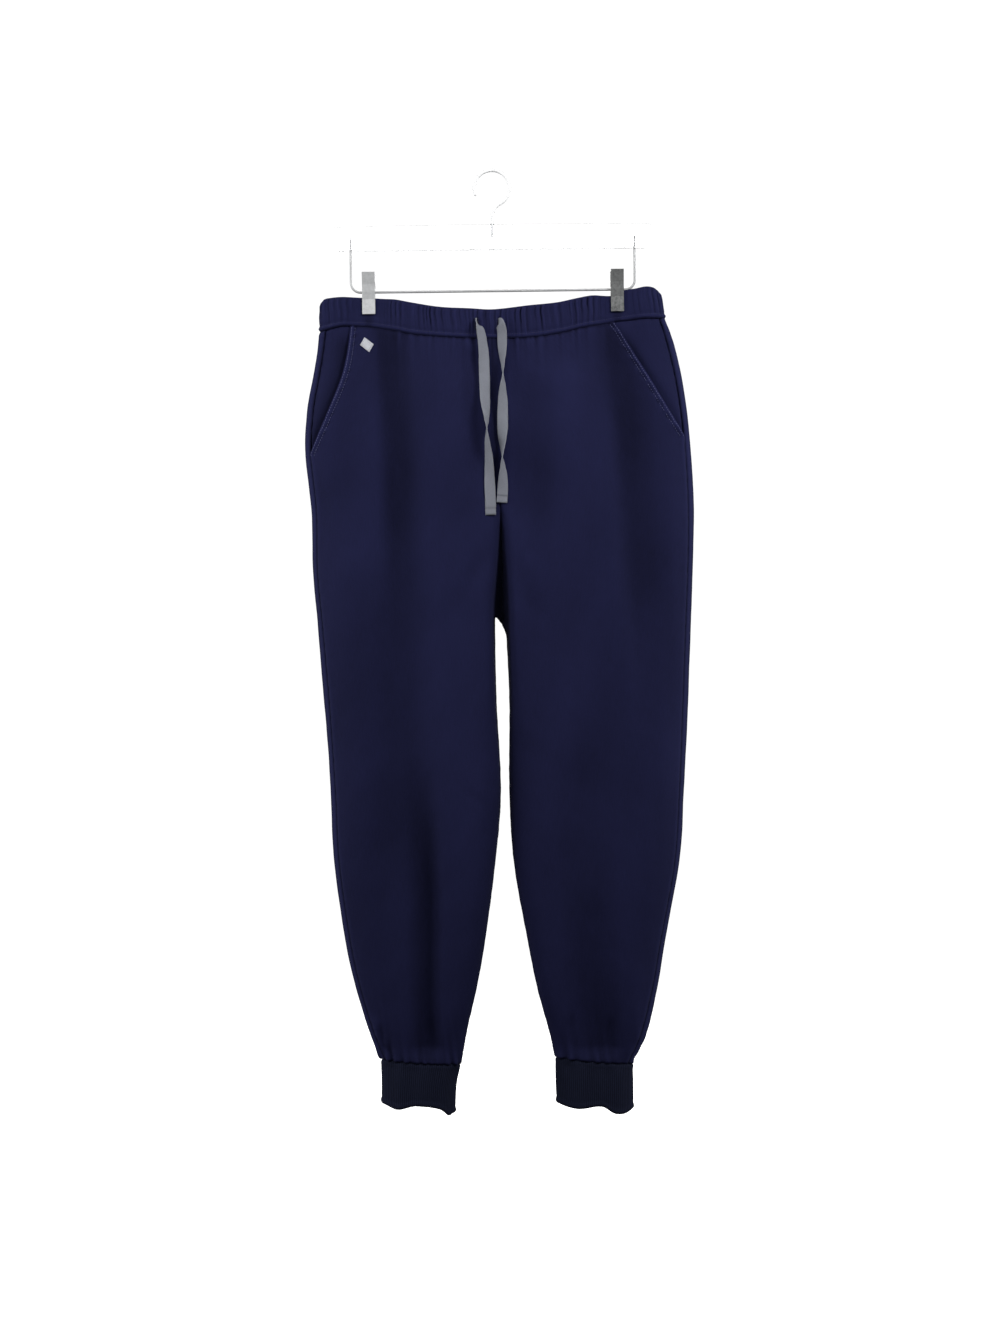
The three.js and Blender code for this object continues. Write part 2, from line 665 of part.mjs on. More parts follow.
// The place on a panel's own facets at an x and a height, and the way out there.
function onFacets(grid, x, z) {
  for (let r = 0; r < grid.length - 1; r++) {
    for (let c = 0; c < grid[r].length - 1; c++) {
      const corners = [grid[r][c], grid[r][c + 1], grid[r + 1][c + 1], grid[r + 1][c]];
      for (const three of [corners.slice(0, 3), [corners[0], corners[2], corners[3]]]) {
        const [a, b, d] = three.map(({ point }) => point);
        const area = (b.x - a.x) * (d.z - a.z) - (d.x - a.x) * (b.z - a.z);
        const u = ((x - a.x) * (d.z - a.z) - (d.x - a.x) * (z - a.z)) / area;
        const v = ((b.x - a.x) * (z - a.z) - (x - a.x) * (b.z - a.z)) / area;
        if (u < 0 || v < 0 || u + v > 1) continue;
        const out = b.clone().sub(a).cross(d.clone().sub(a)).normalize();
        if (out.y > 0) out.negate();
        return { point: new THREE.Vector3(x, a.y + u * (b.y - a.y) + v * (d.y - a.y), z), out };
      }
    }
  }
  throw new Error("no facet there");
}

function label() {
  const { wide, tall } = LABEL_CELLS;
  const turn = THREE.MathUtils.degToRad(LABEL.turn);
  const middle = onFacets(GRIDS.right.front, LABEL.x, LABEL.z).out;
  const grid = Array.from({ length: tall + 1 }, (_, row) =>
    Array.from({ length: wide + 1 }, (_, column) => {
      const u = (column / wide - 0.5) * LABEL.long;
      const v = (0.5 - row / tall) * LABEL.tall;
      const x = LABEL.x + u * Math.cos(turn) - v * Math.sin(turn);
      const z = LABEL.z + u * Math.sin(turn) + v * Math.cos(turn);
      return { point: onFacets(GRIDS.right.front, x, z).point, out: middle };
    }),
  );
  return wall(pushed(grid, 2 * SEAM + LABEL.thick), pushed(grid, 2 * SEAM));
}

// A flat tape that follows its table's route, turning as it goes.
function tape(rows) {
  const route = rows.map(({ x, z, out }) => {
    const side = x < read(CENTRE, "x", z) ? "right" : "left";
    return new THREE.Vector3(x, skin(side, aroundAt(side, x, z), z).y - out, z);
  });
  const curve = new THREE.CatmullRomCurve3(route, false, "centripetal");
  const index = rows.map((row, n) => ({ ...row, n }));
  const outside = [];
  const inside = [];
  for (let step = 0; step <= TAPE.steps; step++) {
    const share = step / TAPE.steps;
    const middle = curve.getPoint(share);
    const along = curve.getTangent(share);
    const at = share * (rows.length - 1);
    const turn = THREE.MathUtils.degToRad(read(index, "turn", at, "n"));
    const lean = THREE.MathUtils.degToRad(read(index, "lean", at, "n"));
    const width = new THREE.Vector3(
      Math.cos(turn) * Math.cos(lean),
      Math.sin(turn) * Math.cos(lean),
      Math.sin(lean),
    );
    width.addScaledVector(along, -width.dot(along)).normalize();
    const flat = new THREE.Vector3().crossVectors(along, width);
    const corner = (across, off) =>
      middle.clone().addScaledVector(width, across).addScaledVector(flat, off);
    const [w, t] = [TAPE.width / 2, TAPE.thick / 2];
    outside.push([corner(-w, t), corner(w, t)]);
    inside.push([corner(-w, -t), corner(w, -t)]);
  }
  return wall(outside, inside);
}

// The front band with an upright buttonhole for each end of the drawstring.
function frontBand() {
  let band = solidOf(waistband(true));
  for (const rows of Object.values(TAPES)) {
    const { x, z } = rows[1];
    const y = skin("right", 0, z).y;
    const hole = new THREE.BoxGeometry(TAPE.slotWide, TAPE.slotDeep, TAPE.slotTall);
    band = band.subtract(solidOf(moved(hole, x, y, z)));
  }
  return geometryOf(band);
}

// ---------- the hanger ----------

// A round wire along one curve after another.
function rod(curves, radius, steps) {
  const shape = new THREE.Shape();
  shape.absarc(0, 0, radius, 0, 2 * Math.PI);
  const path = new THREE.CurvePath();
  curves.forEach((curve) => path.add(curve));
  const options = { extrudePath: path, steps, curveSegments: SIDES.rod };
  return facingOut(mergeVertices(stripped(new THREE.ExtrudeGeometry(shape, options)), 1e-4));
}

function stripped(g) {
  g.deleteAttribute("normal");
  g.deleteAttribute("uv");
  return g;
}

const line = (a, b) => new THREE.LineCurve3(new THREE.Vector3(...a), new THREE.Vector3(...b));

// A quarter-turn bend, or any other arc, in the XZ plane.
function arcXZ(cx, cz, radius, from, to) {
  const at = (angle) => [cx + radius * Math.cos(angle), 0, cz + radius * Math.sin(angle)];
  const pieces = Math.max(3, Math.ceil(Math.abs(to - from) / 0.2));
  const points = Array.from({ length: pieces + 1 }, (_, n) => at(mix(from, to, n / pieces)));
  return new THREE.CatmullRomCurve3(points.map((p) => new THREE.Vector3(...p)));
}

// The hook: a stem out of the bar, a short crook and most of a circle round the rail it hangs on.
function hook() {
  const { hookWire, hookBend, barTop, socketDeep, crookLow, crookHigh } = HANGER;
  const middle = hookWire - hookBend; // of the circle, so that the wire's inside top is at the origin
  const start = -1.15;
  const end = Math.PI + 0.35;
  const foot = barTop - socketDeep + 1;
  const crookTop = [hookBend * Math.cos(start), 0, middle + hookBend * Math.sin(start)];
  const crook = new THREE.CubicBezierCurve3(
    new THREE.Vector3(0, 0, crookLow),
    new THREE.Vector3(0, 0, crookHigh),
    new THREE.Vector3(crookTop[0] - 5, 0, crookTop[2] - 3),
    new THREE.Vector3(...crookTop),
  );
  const stem = line([0, 0, foot], [0, 0, crookLow]);
  return rod([stem, crook, arcXZ(0, middle, hookBend, start, end)], hookWire, 40);
}

function rail() {
  const { wire, railDrop, railHalf, railBend, barTop, barTall, socketDeep } = HANGER;
  const z = barTop - railDrop;
  const top = barTop - barTall + socketDeep - 1;
  const bendZ = z + railBend;
  const inX = railHalf - railBend;
  return rod(
    [
      line([-railHalf, 0, top], [-railHalf, 0, bendZ]),
      arcXZ(-inX, bendZ, railBend, Math.PI, 1.5 * Math.PI),
      line([-inX, 0, z], [inX, 0, z]),
      arcXZ(inX, bendZ, railBend, 1.5 * Math.PI, 2 * Math.PI),
      line([railHalf, 0, bendZ], [railHalf, 0, top]),
    ],
    wire,
    48,
  );
}

// The clear bar: a gently arched strip with cut-off lower corners, and a socket for each wire end.
function bar() {
  const { barLong, barTop, barTall, barThick, barCorner, barRound, bevel } = HANGER;
  const { rise, wire, hookWire, railHalf, socketDeep } = HANGER;
  const half = barLong / 2;
  const bottom = barTop - barTall;
  const shoulder = barTop - rise;
  const outline = new THREE.Shape();
  outline.moveTo(-half, shoulder - barRound);
  outline.quadraticCurveTo(-half, shoulder, -half + barRound, shoulder);
  outline.quadraticCurveTo(0, barTop + rise, half - barRound, shoulder);
  outline.quadraticCurveTo(half, shoulder, half, shoulder - barRound);
  outline.lineTo(half, bottom + barCorner);
  outline.lineTo(half - barCorner, bottom);
  outline.lineTo(-half + barCorner, bottom);
  outline.lineTo(-half, bottom + barCorner);
  const depth = barThick - 2 * bevel;
  const options = {
    depth,
    bevelEnabled: true,
    bevelThickness: bevel,
    bevelSize: bevel,
    bevelOffset: -bevel,
    bevelSegments: 1,
    curveSegments: 10,
  };
  const slab = stripped(new THREE.ExtrudeGeometry(outline, options));
  slab.translate(0, 0, -depth / 2).rotateX(Math.PI / 2);
  const socket = (x, z, radius) => {
    const drill = new THREE.CylinderGeometry(radius + SEAM, radius + SEAM, 2 * socketDeep, SIDES.hole);
    return solidOf(drill.rotateX(Math.PI / 2).translate(x, 0, z));
  };
  let solid = solidOf(facingOut(mergeVertices(slab, 1e-4)));
  solid = solid.subtract(socket(0, barTop, hookWire));
  for (const x of [-railHalf, railHalf]) solid = solid.subtract(socket(x, bottom, wire));
  return geometryOf(solid);
}

// One jaw of a clip: a sprung plate from thumb tab to jaw with an ear on each side that turns on the rail.
function jaw(front) {
  const { wide, sheet, top, jaw: end, ear, earSheet, earOff, earTall, frontEars, backEars } = CLIP;
  const grip = PINCHED + BAND.proud + 3 * SEAM;
  const profile = [
    { off: 10, z: top },
    { off: 6.6, z: 9 },
    { off: 5.6, z: 0 },
    { off: grip, z: -9 },
    { off: grip, z: -end + 2 },
    { off: grip + 1, z: -end },
  ];
  const shape = new THREE.Shape();
  profile.forEach(({ off, z }, n) => (n ? shape.lineTo(off, z) : shape.moveTo(off, z)));
  [...profile].reverse().forEach(({ off, z }) => shape.lineTo(off + sheet, z));
  const plate = stripped(new THREE.ExtrudeGeometry(shape, { depth: wide, bevelEnabled: false }));
  // The shape's x is how far the plate stands off the rail and its y is the height.
  plate.rotateX(Math.PI / 2).rotateZ(-Math.PI / 2).translate(wide / 2, 0, 0);
  let solid = solidOf(facingOut(mergeVertices(plate, 1e-4)));
  const ears = front ? frontEars : backEars;
  for (const x of [-ears, ears]) {
    const disc = new THREE.CylinderGeometry(ear, ear, earSheet, SIDES.ring).rotateZ(Math.PI / 2);
    const web = new THREE.BoxGeometry(earSheet, 2 * earOff - 0.2, earTall);
    solid = solid.add(solidOf(moved(disc, x, 0, 0))).add(solidOf(moved(web, x, -earOff, 0)));
  }
  const hole = new THREE.CylinderGeometry(HANGER.wire + SEAM, HANGER.wire + SEAM, 2 * wide, SIDES.hole);
  const made = geometryOf(solid.subtract(solidOf(hole.rotateZ(Math.PI / 2))));
  return front ? made : made.rotateZ(Math.PI);
}

function spring() {
  const inner = HANGER.wire + SEAM;
  const outer = inner + CLIP.springWall;
  const half = CLIP.springHalf;
  const profile = [
    [inner, -half],
    [outer, -half],
    [outer, half],
    [inner, half],
    [inner, -half],
  ].map(([r, y]) => new THREE.Vector2(r, y));
  const g = stripped(new THREE.LatheGeometry(profile, SIDES.ring)).rotateZ(Math.PI / 2);
  return facingOut(mergeVertices(g, 1e-4));
}

// ---------- the scene graph ----------

const finish = (color, roughness, metalness = 0, more = {}) =>
  new THREE.MeshStandardMaterial({ color, roughness, metalness, ...more });
const NAVY = finish(0x1b1c35, 0.9);
const RIB_NAVY = finish(0x121320, 0.95);
const GREY_TAPE = finish(0x7c7e8a, 0.9);
const LABEL_GREY = finish(0xc9cbd2, 0.8);
const CLEAR = finish(0xf2f4f6, 0.1, 0, { transparent: true, opacity: 0.35 });
const STEEL = finish(0xb9bcc0, 0.25, 1);

const part = new THREE.Group();
const joggers = new THREE.Group();
const hanger = new THREE.Group();
hanger.rotation.y = HANGER.tilt;
part.add(joggers, hanger);

function add(group, name, geometry, material) {
  const mesh = new THREE.Mesh(geometry, material);
  mesh.name = name;
  group.add(mesh);
  return mesh;
}

for (const side of ["right", "left"]) {
  for (const face of ["front", "back"]) {
    add(joggers, `${face}_${side}_upper`, panel(GRIDS[side][face], true), NAVY);
    add(joggers, `${face}_${side}_lower`, panel(GRIDS[side][face], false), NAVY);
  }
  add(joggers, `pocket_facing_${side}`, pocketFacing(side), NAVY);
  add(joggers, `cuff_${side}`, cuff(side), RIB_NAVY);
  add(joggers, `drawstring_${side}`, tape(TAPES[side]), GREY_TAPE);
}
add(joggers, "waistband_front", frontBand(), NAVY);
add(joggers, "waistband_back", waistband(false), NAVY);
add(joggers, "label", label(), LABEL_GREY);

add(hanger, "hanger_bar", bar(), CLEAR);
add(hanger, "hanger_hook", hook(), STEEL);
add(hanger, "hanger_wire", rail(), STEEL);
for (const [side, sign] of Object.entries(SIGN)) {
  const clip = new THREE.Group();
  clip.position.set(sign * HANGER.clipX, 0, HANGER.barTop - HANGER.railDrop);
  hanger.add(clip);
  add(clip, `clip_jaw_front_${side}`, jaw(true), STEEL);
  add(clip, `clip_jaw_back_${side}`, jaw(false), STEEL);
  add(clip, `clip_spring_${side}`, spring(), STEEL);
}

export default part;
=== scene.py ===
"""Scrub joggers hung by the waistband from a clear bar hanger with two spring clips.

Builds the sewn pieces, the drawstring, the label and the hanger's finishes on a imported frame.
Tables and shape functions are in millimetres, and meshes are made in metres.
"""

import math

import bmesh
import bpy
import numpy as np
from bpy.props import FloatProperty, FloatVectorProperty, IntProperty, PointerProperty
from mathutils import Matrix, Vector
from mathutils.bvhtree import BVHTree


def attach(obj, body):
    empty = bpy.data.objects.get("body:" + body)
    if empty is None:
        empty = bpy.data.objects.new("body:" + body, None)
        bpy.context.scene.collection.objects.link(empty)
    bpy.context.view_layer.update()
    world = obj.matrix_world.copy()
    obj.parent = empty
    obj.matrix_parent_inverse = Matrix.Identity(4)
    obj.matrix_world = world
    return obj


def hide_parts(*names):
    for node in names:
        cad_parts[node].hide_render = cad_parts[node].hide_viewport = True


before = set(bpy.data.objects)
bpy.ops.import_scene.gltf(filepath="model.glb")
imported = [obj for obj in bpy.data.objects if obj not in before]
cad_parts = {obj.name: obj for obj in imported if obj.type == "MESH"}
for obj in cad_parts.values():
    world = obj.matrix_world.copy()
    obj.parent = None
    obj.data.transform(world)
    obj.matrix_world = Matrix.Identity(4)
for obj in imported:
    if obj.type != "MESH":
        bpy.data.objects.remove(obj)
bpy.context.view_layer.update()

bl_info = {
    "name": "Scrub joggers on a clip hanger",
    "version": (1, 0, 0),
    "blender": (4, 5, 0),
    "location": "View3D > Sidebar > Joggers",
    "description": "Makes the cloth, trims and finishes of a pair of scrub joggers on a clip hanger",
    "category": "Object",
}

MM = 0.001
SIDES = ("right", "left")
SIGN = {"right": -1, "left": 1}

# ---------- driving dimensions, in millimetres, degrees and shares ----------

# Levels: the band's seam, where the front and the back part into legs, the crotch, the cuffs and the hems.
WAIST_LEVEL, FORK, BACK_FORK, CROTCH, CUFF_LEVEL, HEM = -200, -413, -470, -560, -1101, -1157
BENT_WAIST, BENT_CUFF = 150, 60  # how far from a seam the panels' rows still follow its line
FOLDS_IN, FOLDS_OUT = 45, 20  # how far from the waist and the cuff the folds reach their full depth
PARTING = 60  # how far above the fork and below the crotch the sections turn from a body into legs
SHIN, KNEE_LOW, KNEE_HIGH = -900, -720, -590
ANKLE_HIGH, ANKLE_LOW = 70, 8  # heights above the cuff between which the legs become plain ovals

# How square the sections are.
BODY_POWER, LEG_POWER, SHIN_POWER, THIGH_POWER, CLEFT_POWER, OVAL_POWER = 4, 2.7, 4.5, 11, 22, 2
# The arch between the legs: its height, its slant, how far the back comes forward, and shares of a section.
ARCH, CROTCH_SLANT, SLANT_TALL, CROTCH_BACK = 9, 1.7, 40, 18
CROTCH_BOTTOM, CROTCH_BRIDGE, SLANT_SHARE, CLEFT_SHARE = 0.12, 0.07, 0.22, 0.3

# Cloth: how far it stands out of the plain form, half thicknesses and walls.
PROUD, BAND_PROUD, FACING_DROP = 0.8, 0.9, 1.6
PANEL_HALF, TURNED_HALF, FACING_WALL, BAND_WALL, RIB_WALL = 0.6, 0.25, 1.2, 3.0, 2.2
PINCHED = 2.4  # how far the cloth stands from the mid-plane under a clip
SEAM, SEAM_LAP, TUCK = 0.3, 0.15, 3.0  # gap and lap at a seam, and how far a panel runs on under the band
BAND_JOIN = 0.002  # the share of a section left open where the band's halves meet
SEAM_INSET, EDGE_STITCH, EDGE_STITCH_2 = 6.5, 6.4, 2.0
# FULL_FOLD is the depth at which a fold's painted shade is full.
FOLD_POWER, FULL_FOLD = 2.5, 13  # how flat a fold's bottom is, and the depth at which it is fully in shade
GATHER_PITCH = 7.4
BAND_STITCH_ROW, RIDGE, GROOVE = 0.86, (0.91, 0.045), (0.80, 0.04)  # shares down the band

# Across a seam or an edge: height, distance and half width of each bell.
# The bells for the seams' and the pocket edge's marks are painted shading, shade above 0 and highlight below
# 0; the other bells shape the cloth.
SIDE_SEAM, SIDE_SEAM_SHADING = ((-1.0, 0, 1.6), (0.25, 5, 2.6)), ((0.9, 0, 1.4), (-0.3, 4, 2))
INSEAM, FACING_SEAM = ((-0.9, 0, 1.8),), ((-1.0, 0, 1.6),)
POCKET_TURN = ((0.9, 3, 2.6), (-0.7, EDGE_STITCH, 1.3))
POCKET_EDGE_SHADING = ((-0.65, 2.5, 2.6), (0.5, EDGE_STITCH, 1.2))
WAIST_SEAM, WAIST_SEAM_SHADING, CUFF_SEAM = ((-1.1, 0, 2.2),), ((0.8, 0, 1.5),), ((-0.7, 0, 1.8),)
CUFF_HEM, CUFF_TOP = ((0.9, 3.5, 3.2), (-0.35, 8.5, 1.2)), ((0.5, 4, 2.2),)
# Gathers beside a seam: their pitch, and rows of height and reach.
SIDE_GATHERS, INSEAM_GATHERS = (13, ((0.22, 7),)), (16, ((0.25, 8),))
WAIST_GATHERS, CUFF_GATHERS = (9, ((0.55, 9), (0.3, 30))), (10, ((0.9, 10), (0.5, 34)))
FACING_SIDE_GATHERS, FACING_TOP_GATHERS = (12, ((0.2, 7),)), (8, ((0.45, 12),))

# Rows and columns of points.
FACING_ROWS, FACING_COLUMNS, LABEL_ROWS, LABEL_COLUMNS = 110, 44, 25, 33
BAND_ROWS, BAND_SAMPLES, BAND_COLUMNS, CUFF_ROWS, CUFF_COLUMNS = 26, 260, 460, 34, 640
EDGE_ROWS, EDGE_COLUMNS = 90, 140  # along a pocket's edge, for its stitches
# Where each piece's random draws start.
PANEL_SEED, INSEAM_DRAW, POCKET_DRAW, WAIST_DRAW, ANKLE_DRAW, HAND_DRAW = 11, 40, 80, 5, 9, 3
FACING_SEED, LABEL_SEED, BAND_SEED = 61, 71, {"front": 201, "back": 231}
CUFF_SEED, CUFF_SAG_SEED, TAPE_CUP_SEED, TAPE_EDGE_SEED, TAPE_SWAY_SEED = 301, 331, 401, 411, 421

# Drawstring and its buttonholes.
TAPE_WIDE, TAPE_STEPS, TAPE_COLUMNS, TAPE_HEM = 13.3, 220, 17, 9.0
SLOT_WIDE, SLOT_TALL = 2.6, 15.4
# Label: place, size, thickness, and the ways of its length and its height.
LABEL_X, LABEL_Z, LABEL_LONG, LABEL_TALL, LABEL_THICK = -154, -215.5, 14.6, 11.2, 0.8
LABEL_TURN, LABEL_LEAN = -38, 61
# Stitches: pitch, length and width.
POCKET_STITCH_PITCH, POCKET_STITCH_WIDE = 3.4, 0.8
BAND_STITCH_PITCH, BAND_STITCH_WIDE = 3.0, 0.42
TAPE_STITCH, LABEL_STITCH, SLOT_STITCH = (1.9, 1.5, 0.6), (1.7, 1.25, 0.32), (9, 1.7, 0.6)

# Hanger.
TILT = 0.012
CLIP_X, BAR_TOP, RAIL_DROP, BAR_TALL, SOCKET = 154, -65, 82.5, 31, 16
RAIL_HALF, RAIL_BEND, WIRE = 176, 12, 1.5
HOOK_WIRE, HOOK_BEND, CROOK_LOW, CROOK_HIGH = 2.0, 22, -56, -50
HOOK_START, HOOK_END = -1.15, math.pi + 0.35
STEM_STEPS, CROOK_STEPS, HOOK_STEPS = 12, 18, 60
UPRIGHT_STEPS, CORNER_STEPS, RAIL_STEPS = 24, 14, 90
# Plated steel: its roughness, how much of it is dull, how metallic it looks and its gloss.
# The hook's and the wire's plates go with colours that paint their reflections, the hook's with little metal.
SPRING_STEEL, HOOK_REFLECTION_PLATE, WIRE_REFLECTION_PLATE = (0.2, 0.35, 1.0, 0.5), (0.7, 0.12, 0.05, 0.05), (0.5, 0.25, 0.35, 0.5)
# The two clips' plates go with colours that paint their reflections: a pale one for one clip, a dark one for
# the other.
LIGHT_REFLECTION_PLATE, DARK_REFLECTION_PLATE = (0.42, 0.3, 0.35, 0.5), (0.42, 0.9, 0.6, 0.5)

# ---------- tables ----------

# Height, and how far the plain form stands in front of and behind the mid-plane.
DEPTHS = (
    (-140, 15, 15),
    (-205, 17, 18),
    (-270, 31, 38),
    (-345, 39, 50),
    (-430, 42, 50),
    (-560, 43, 45),
    (-700, 43, 42),
    (-820, 42, 38),
    (-930, 36, 33),
    (-1040, 28, 27),
    (-1110, 21, 21),
)
# Height, and the x of each leg's outline outside and inside.
LEGS = {
    "right": (
        (-140, -211, 4.3),
        (-200, -213, 4.3),
        (-245, -219, 4.3),
        (-295, -227.5, 4.3),
        (-345, -230, 4.3),
        (-420, -222.5, 4.3),
        (-495, -221, 4.3),
        (-560, -215, 3.6),
        (-655, -206.5, 5.6),
        (-770, -198.5, 11),
        (-855, -194, 4.3),
        (-955, -180, -8.7),
        (-1010, -168, -18.5),
        (-1060, -153, -29.8),
        (-1101, -137, -37),
    ),
    "left": (
        (-140, 205.5, 19.2),
        (-160, 210.5, 19.2),
        (-182, 215, 19.2),
        (-200, 221, 19.2),
        (-245, 232.5, 19.2),
        (-295, 241, 19.2),
        (-345, 246, 19.2),
        (-420, 249.5, 19.2),
        (-495, 248.5, 19.2),
        (-560, 246, 19.2),
        (-655, 242.5, 22.7),
        (-770, 238, 22.9),
        (-855, 232.3, 28.2),
        (-955, 214.5, 45.8),
        (-1010, 205, 57),
        (-1070, 190, 73),
        (-1101, 176, 79),
    ),
}
# Height and x of the seam down the middle.
CENTRE = ((-140, -1), (-300, 2), (-413, 11), (-560, 13))
# From side to side: x, the band's top edge and its seam with the panels.
WAIST = (
    (-213, -163, -198.5),
    (-209, -158.8, -197.8),
    (-203, -157.3, -196.5),
    (-182, -156, -192.5),
    (-150, -156.6, -193.3),
    (-122, -159.5, -198.3),
    (-98, -164, -203.5),
    (-64, -169.2, -206.5),
    (-27, -171, -208.4),
    (2, -172.3, -209),
    (48, -167.3, -207.5),
    (85, -163.6, -202),
    (110, -158.6, -196),
    (134, -154.4, -191),
    (158, -153.7, -186),
    (167, -151.5, -185),
    (174, -147.2, -184.3),
    (192, -144.8, -183),
    (205, -142.8, -182.6),
    (213, -143.4, -182.4),
    (218, -146, -182.2),
    (221.5, -151, -182),
)
# Height, and the share and half width of the clips' pinch there.
PINCH = (
    (-140, 1, 27),
    (-176, 1, 27),
    (-192, 0.76, 28),
    (-225, 0.46, 32),
    (-300, 0.2, 40),
    (-400, 0.07, 46),
    (-500, 0, 50),
)
# Height and x of the pockets' slanted edges.
POCKETS = {
    "right": ((-190, -174), (-250, -182.5), (-300, -201), (-357, -226)),
    "left": ((-186, 147), (-200, 155.5), (-244, 184), (-302, 220), (-334, 241)),
}
# How much shade is painted on each facing beside its pocket's edge, as that edge's shadow, how wide that is,
# and how far below the band it starts.
FACING_SHADE = {"right": (0.95, 19, 12), "left": (0.9, 4, 62)}
# Long folds: height of both ends, how far each end fades, x at the top, middle and end, half width, how
# much wider one side is, and how deep they sink.
FOLDS = {
    "front": (
        (-190, -640, 4, 260, -133, -119, -100, 19, 0.3, 13),
        (-480, -980, 140, 220, -112, -110, -98, 36, -0.1, 6),
        (-700, -1101, 200, 3, -90, -79, -80, 14.5, -0.1, 14.5),
        (-620, -1070, 150, 60, -172, -160, -140, 40, 0, 2.6),
        (-184, -470, 10, 70, -1, 3, 8, 9, 0, 2),
        (-212, -410, 20, 60, -24, -21, -14, 12, 0, 5),
        (-180, -720, 4, 340, 148, 172, 202, 24, 0.35, 12),
        (-240, -500, 60, 90, 54, 52, 46, 26, 0, 5),
        (-840, -1101, 220, 3, 126, 134, 145, 27, -0.2, 11),
        (-420, -900, 100, 100, -50, -44, -42, 34, 0, -4),
        (-400, -640, 60, 90, 36, 34, 32, 13, 0, -3),
        (-225, -520, 40, 120, 92, 90, 84, 24, 0, -4),
        (-700, -900, 70, 70, 106, 112, 110, 30, 0, 4),
    ),
    "back": (
        (-206, -560, 26, 120, -146, -134, -118, 24, 0.1, 10),
        (-206, -590, 26, 120, 152, 148, 138, 26, -0.1, 10),
        (-520, -1112, 140, 16, -92, -104, -92, 22, 0.3, 9),
        (-540, -1110, 140, 16, 122, 138, 122, 24, -0.25, 9),
        (-700, -1000, 80, 80, -46, -50, -52, 26, 0, -3),
        (-470, -760, 80, 80, 66, 70, 84, 34, 0, -4),
        (-240, -450, 40, 80, -60, -58, -50, 26, 0, 4),
        (-240, -440, 40, 80, 70, 66, 60, 26, 0, 4),
    ),
}
# Short creases: x and height of both ends, half width, and how deep they sink.
CREASES = {
    "front": (
        (-224, -369, -205, -431, 6, -1.2),
        (-214, -372, -196, -436, 6, 1.0),
        (-145, -1045, -128, -1084, 4.5, -3.2),
        (-138, -1058, -122, -1096, 4.5, 4.2),
        (-72, -1046, -62, -1094, 6, 1.6),
        (-30, -764, -8, -782, 4, 1.0),
        (-150, -212, -142, -300, 7, 0.8),
        (-128, -214, -120, -330, 8, 0.6),
        (108, -902, 128, -926, 5, 0.45),
        (130, -908, 146, -936, 5, 0.5),
        (116, -934, 150, -956, 5, -0.5),
        (138, -942, 162, -966, 5, 0.45),
        (136, -206, 150, -300, 8, 0.6),
        (172, -210, 176, -360, 9, 0.8),
        (100, -1040, 106, -1092, 5, 1.5),
        (148, -1046, 152, -1094, 5, 1.7),
        (26, -470, 66, -560, 12, 1.5),
        (-2, -468, -46, -566, 12, 1.4),
    ),
    "back": (
        (-20, -470, -90, -540, 12, 2.0),
        (30, -474, 96, -548, 12, 2.0),
        (-70, -640, -150, -700, 14, 1.6),
        (84, -650, 170, -716, 14, 1.6),
        (-60, -720, -140, -748, 10, 1.4),
        (90, -742, 168, -760, 10, 1.3),
        (-130, -1046, -116, -1092, 5, 2.0),
        (-66, -1044, -72, -1094, 5, 1.6),
        (108, -1044, 112, -1090, 5, 1.8),
        (156, -1046, 148, -1092, 5, 1.8),
        (-10, -250, -16, -380, 12, 1.6),
    ),
}
# The cuffs' outline at three heights, their seam with the leg outside and inside, and their hem's droop.
CUFFS = {
    "right": {
        "rows": ((-1101, -136.5, -37.5, 21), (-1128, -135.5, -43.5, 22.5), (-1170, -136, -46, 22)),
        "seam": (-1099.5, -1105.5),
        "droop": ((0, -3.5), (0.22, 2.6), (0.48, -2), (0.8, 2.6), (0.94, 11.5), (1, 9)),
    },
    "left": {
        "rows": ((-1101, 175.5, 79.5, 21), (-1128, 176, 80, 22.5), (-1170, 176, 82, 22)),
        "seam": (-1104.5, -1096.5),
        "droop": ((0, 4), (0.12, 8), (0.26, 7), (0.42, -1.5), (0.75, 1.6), (1, -3.5)),
    },
}
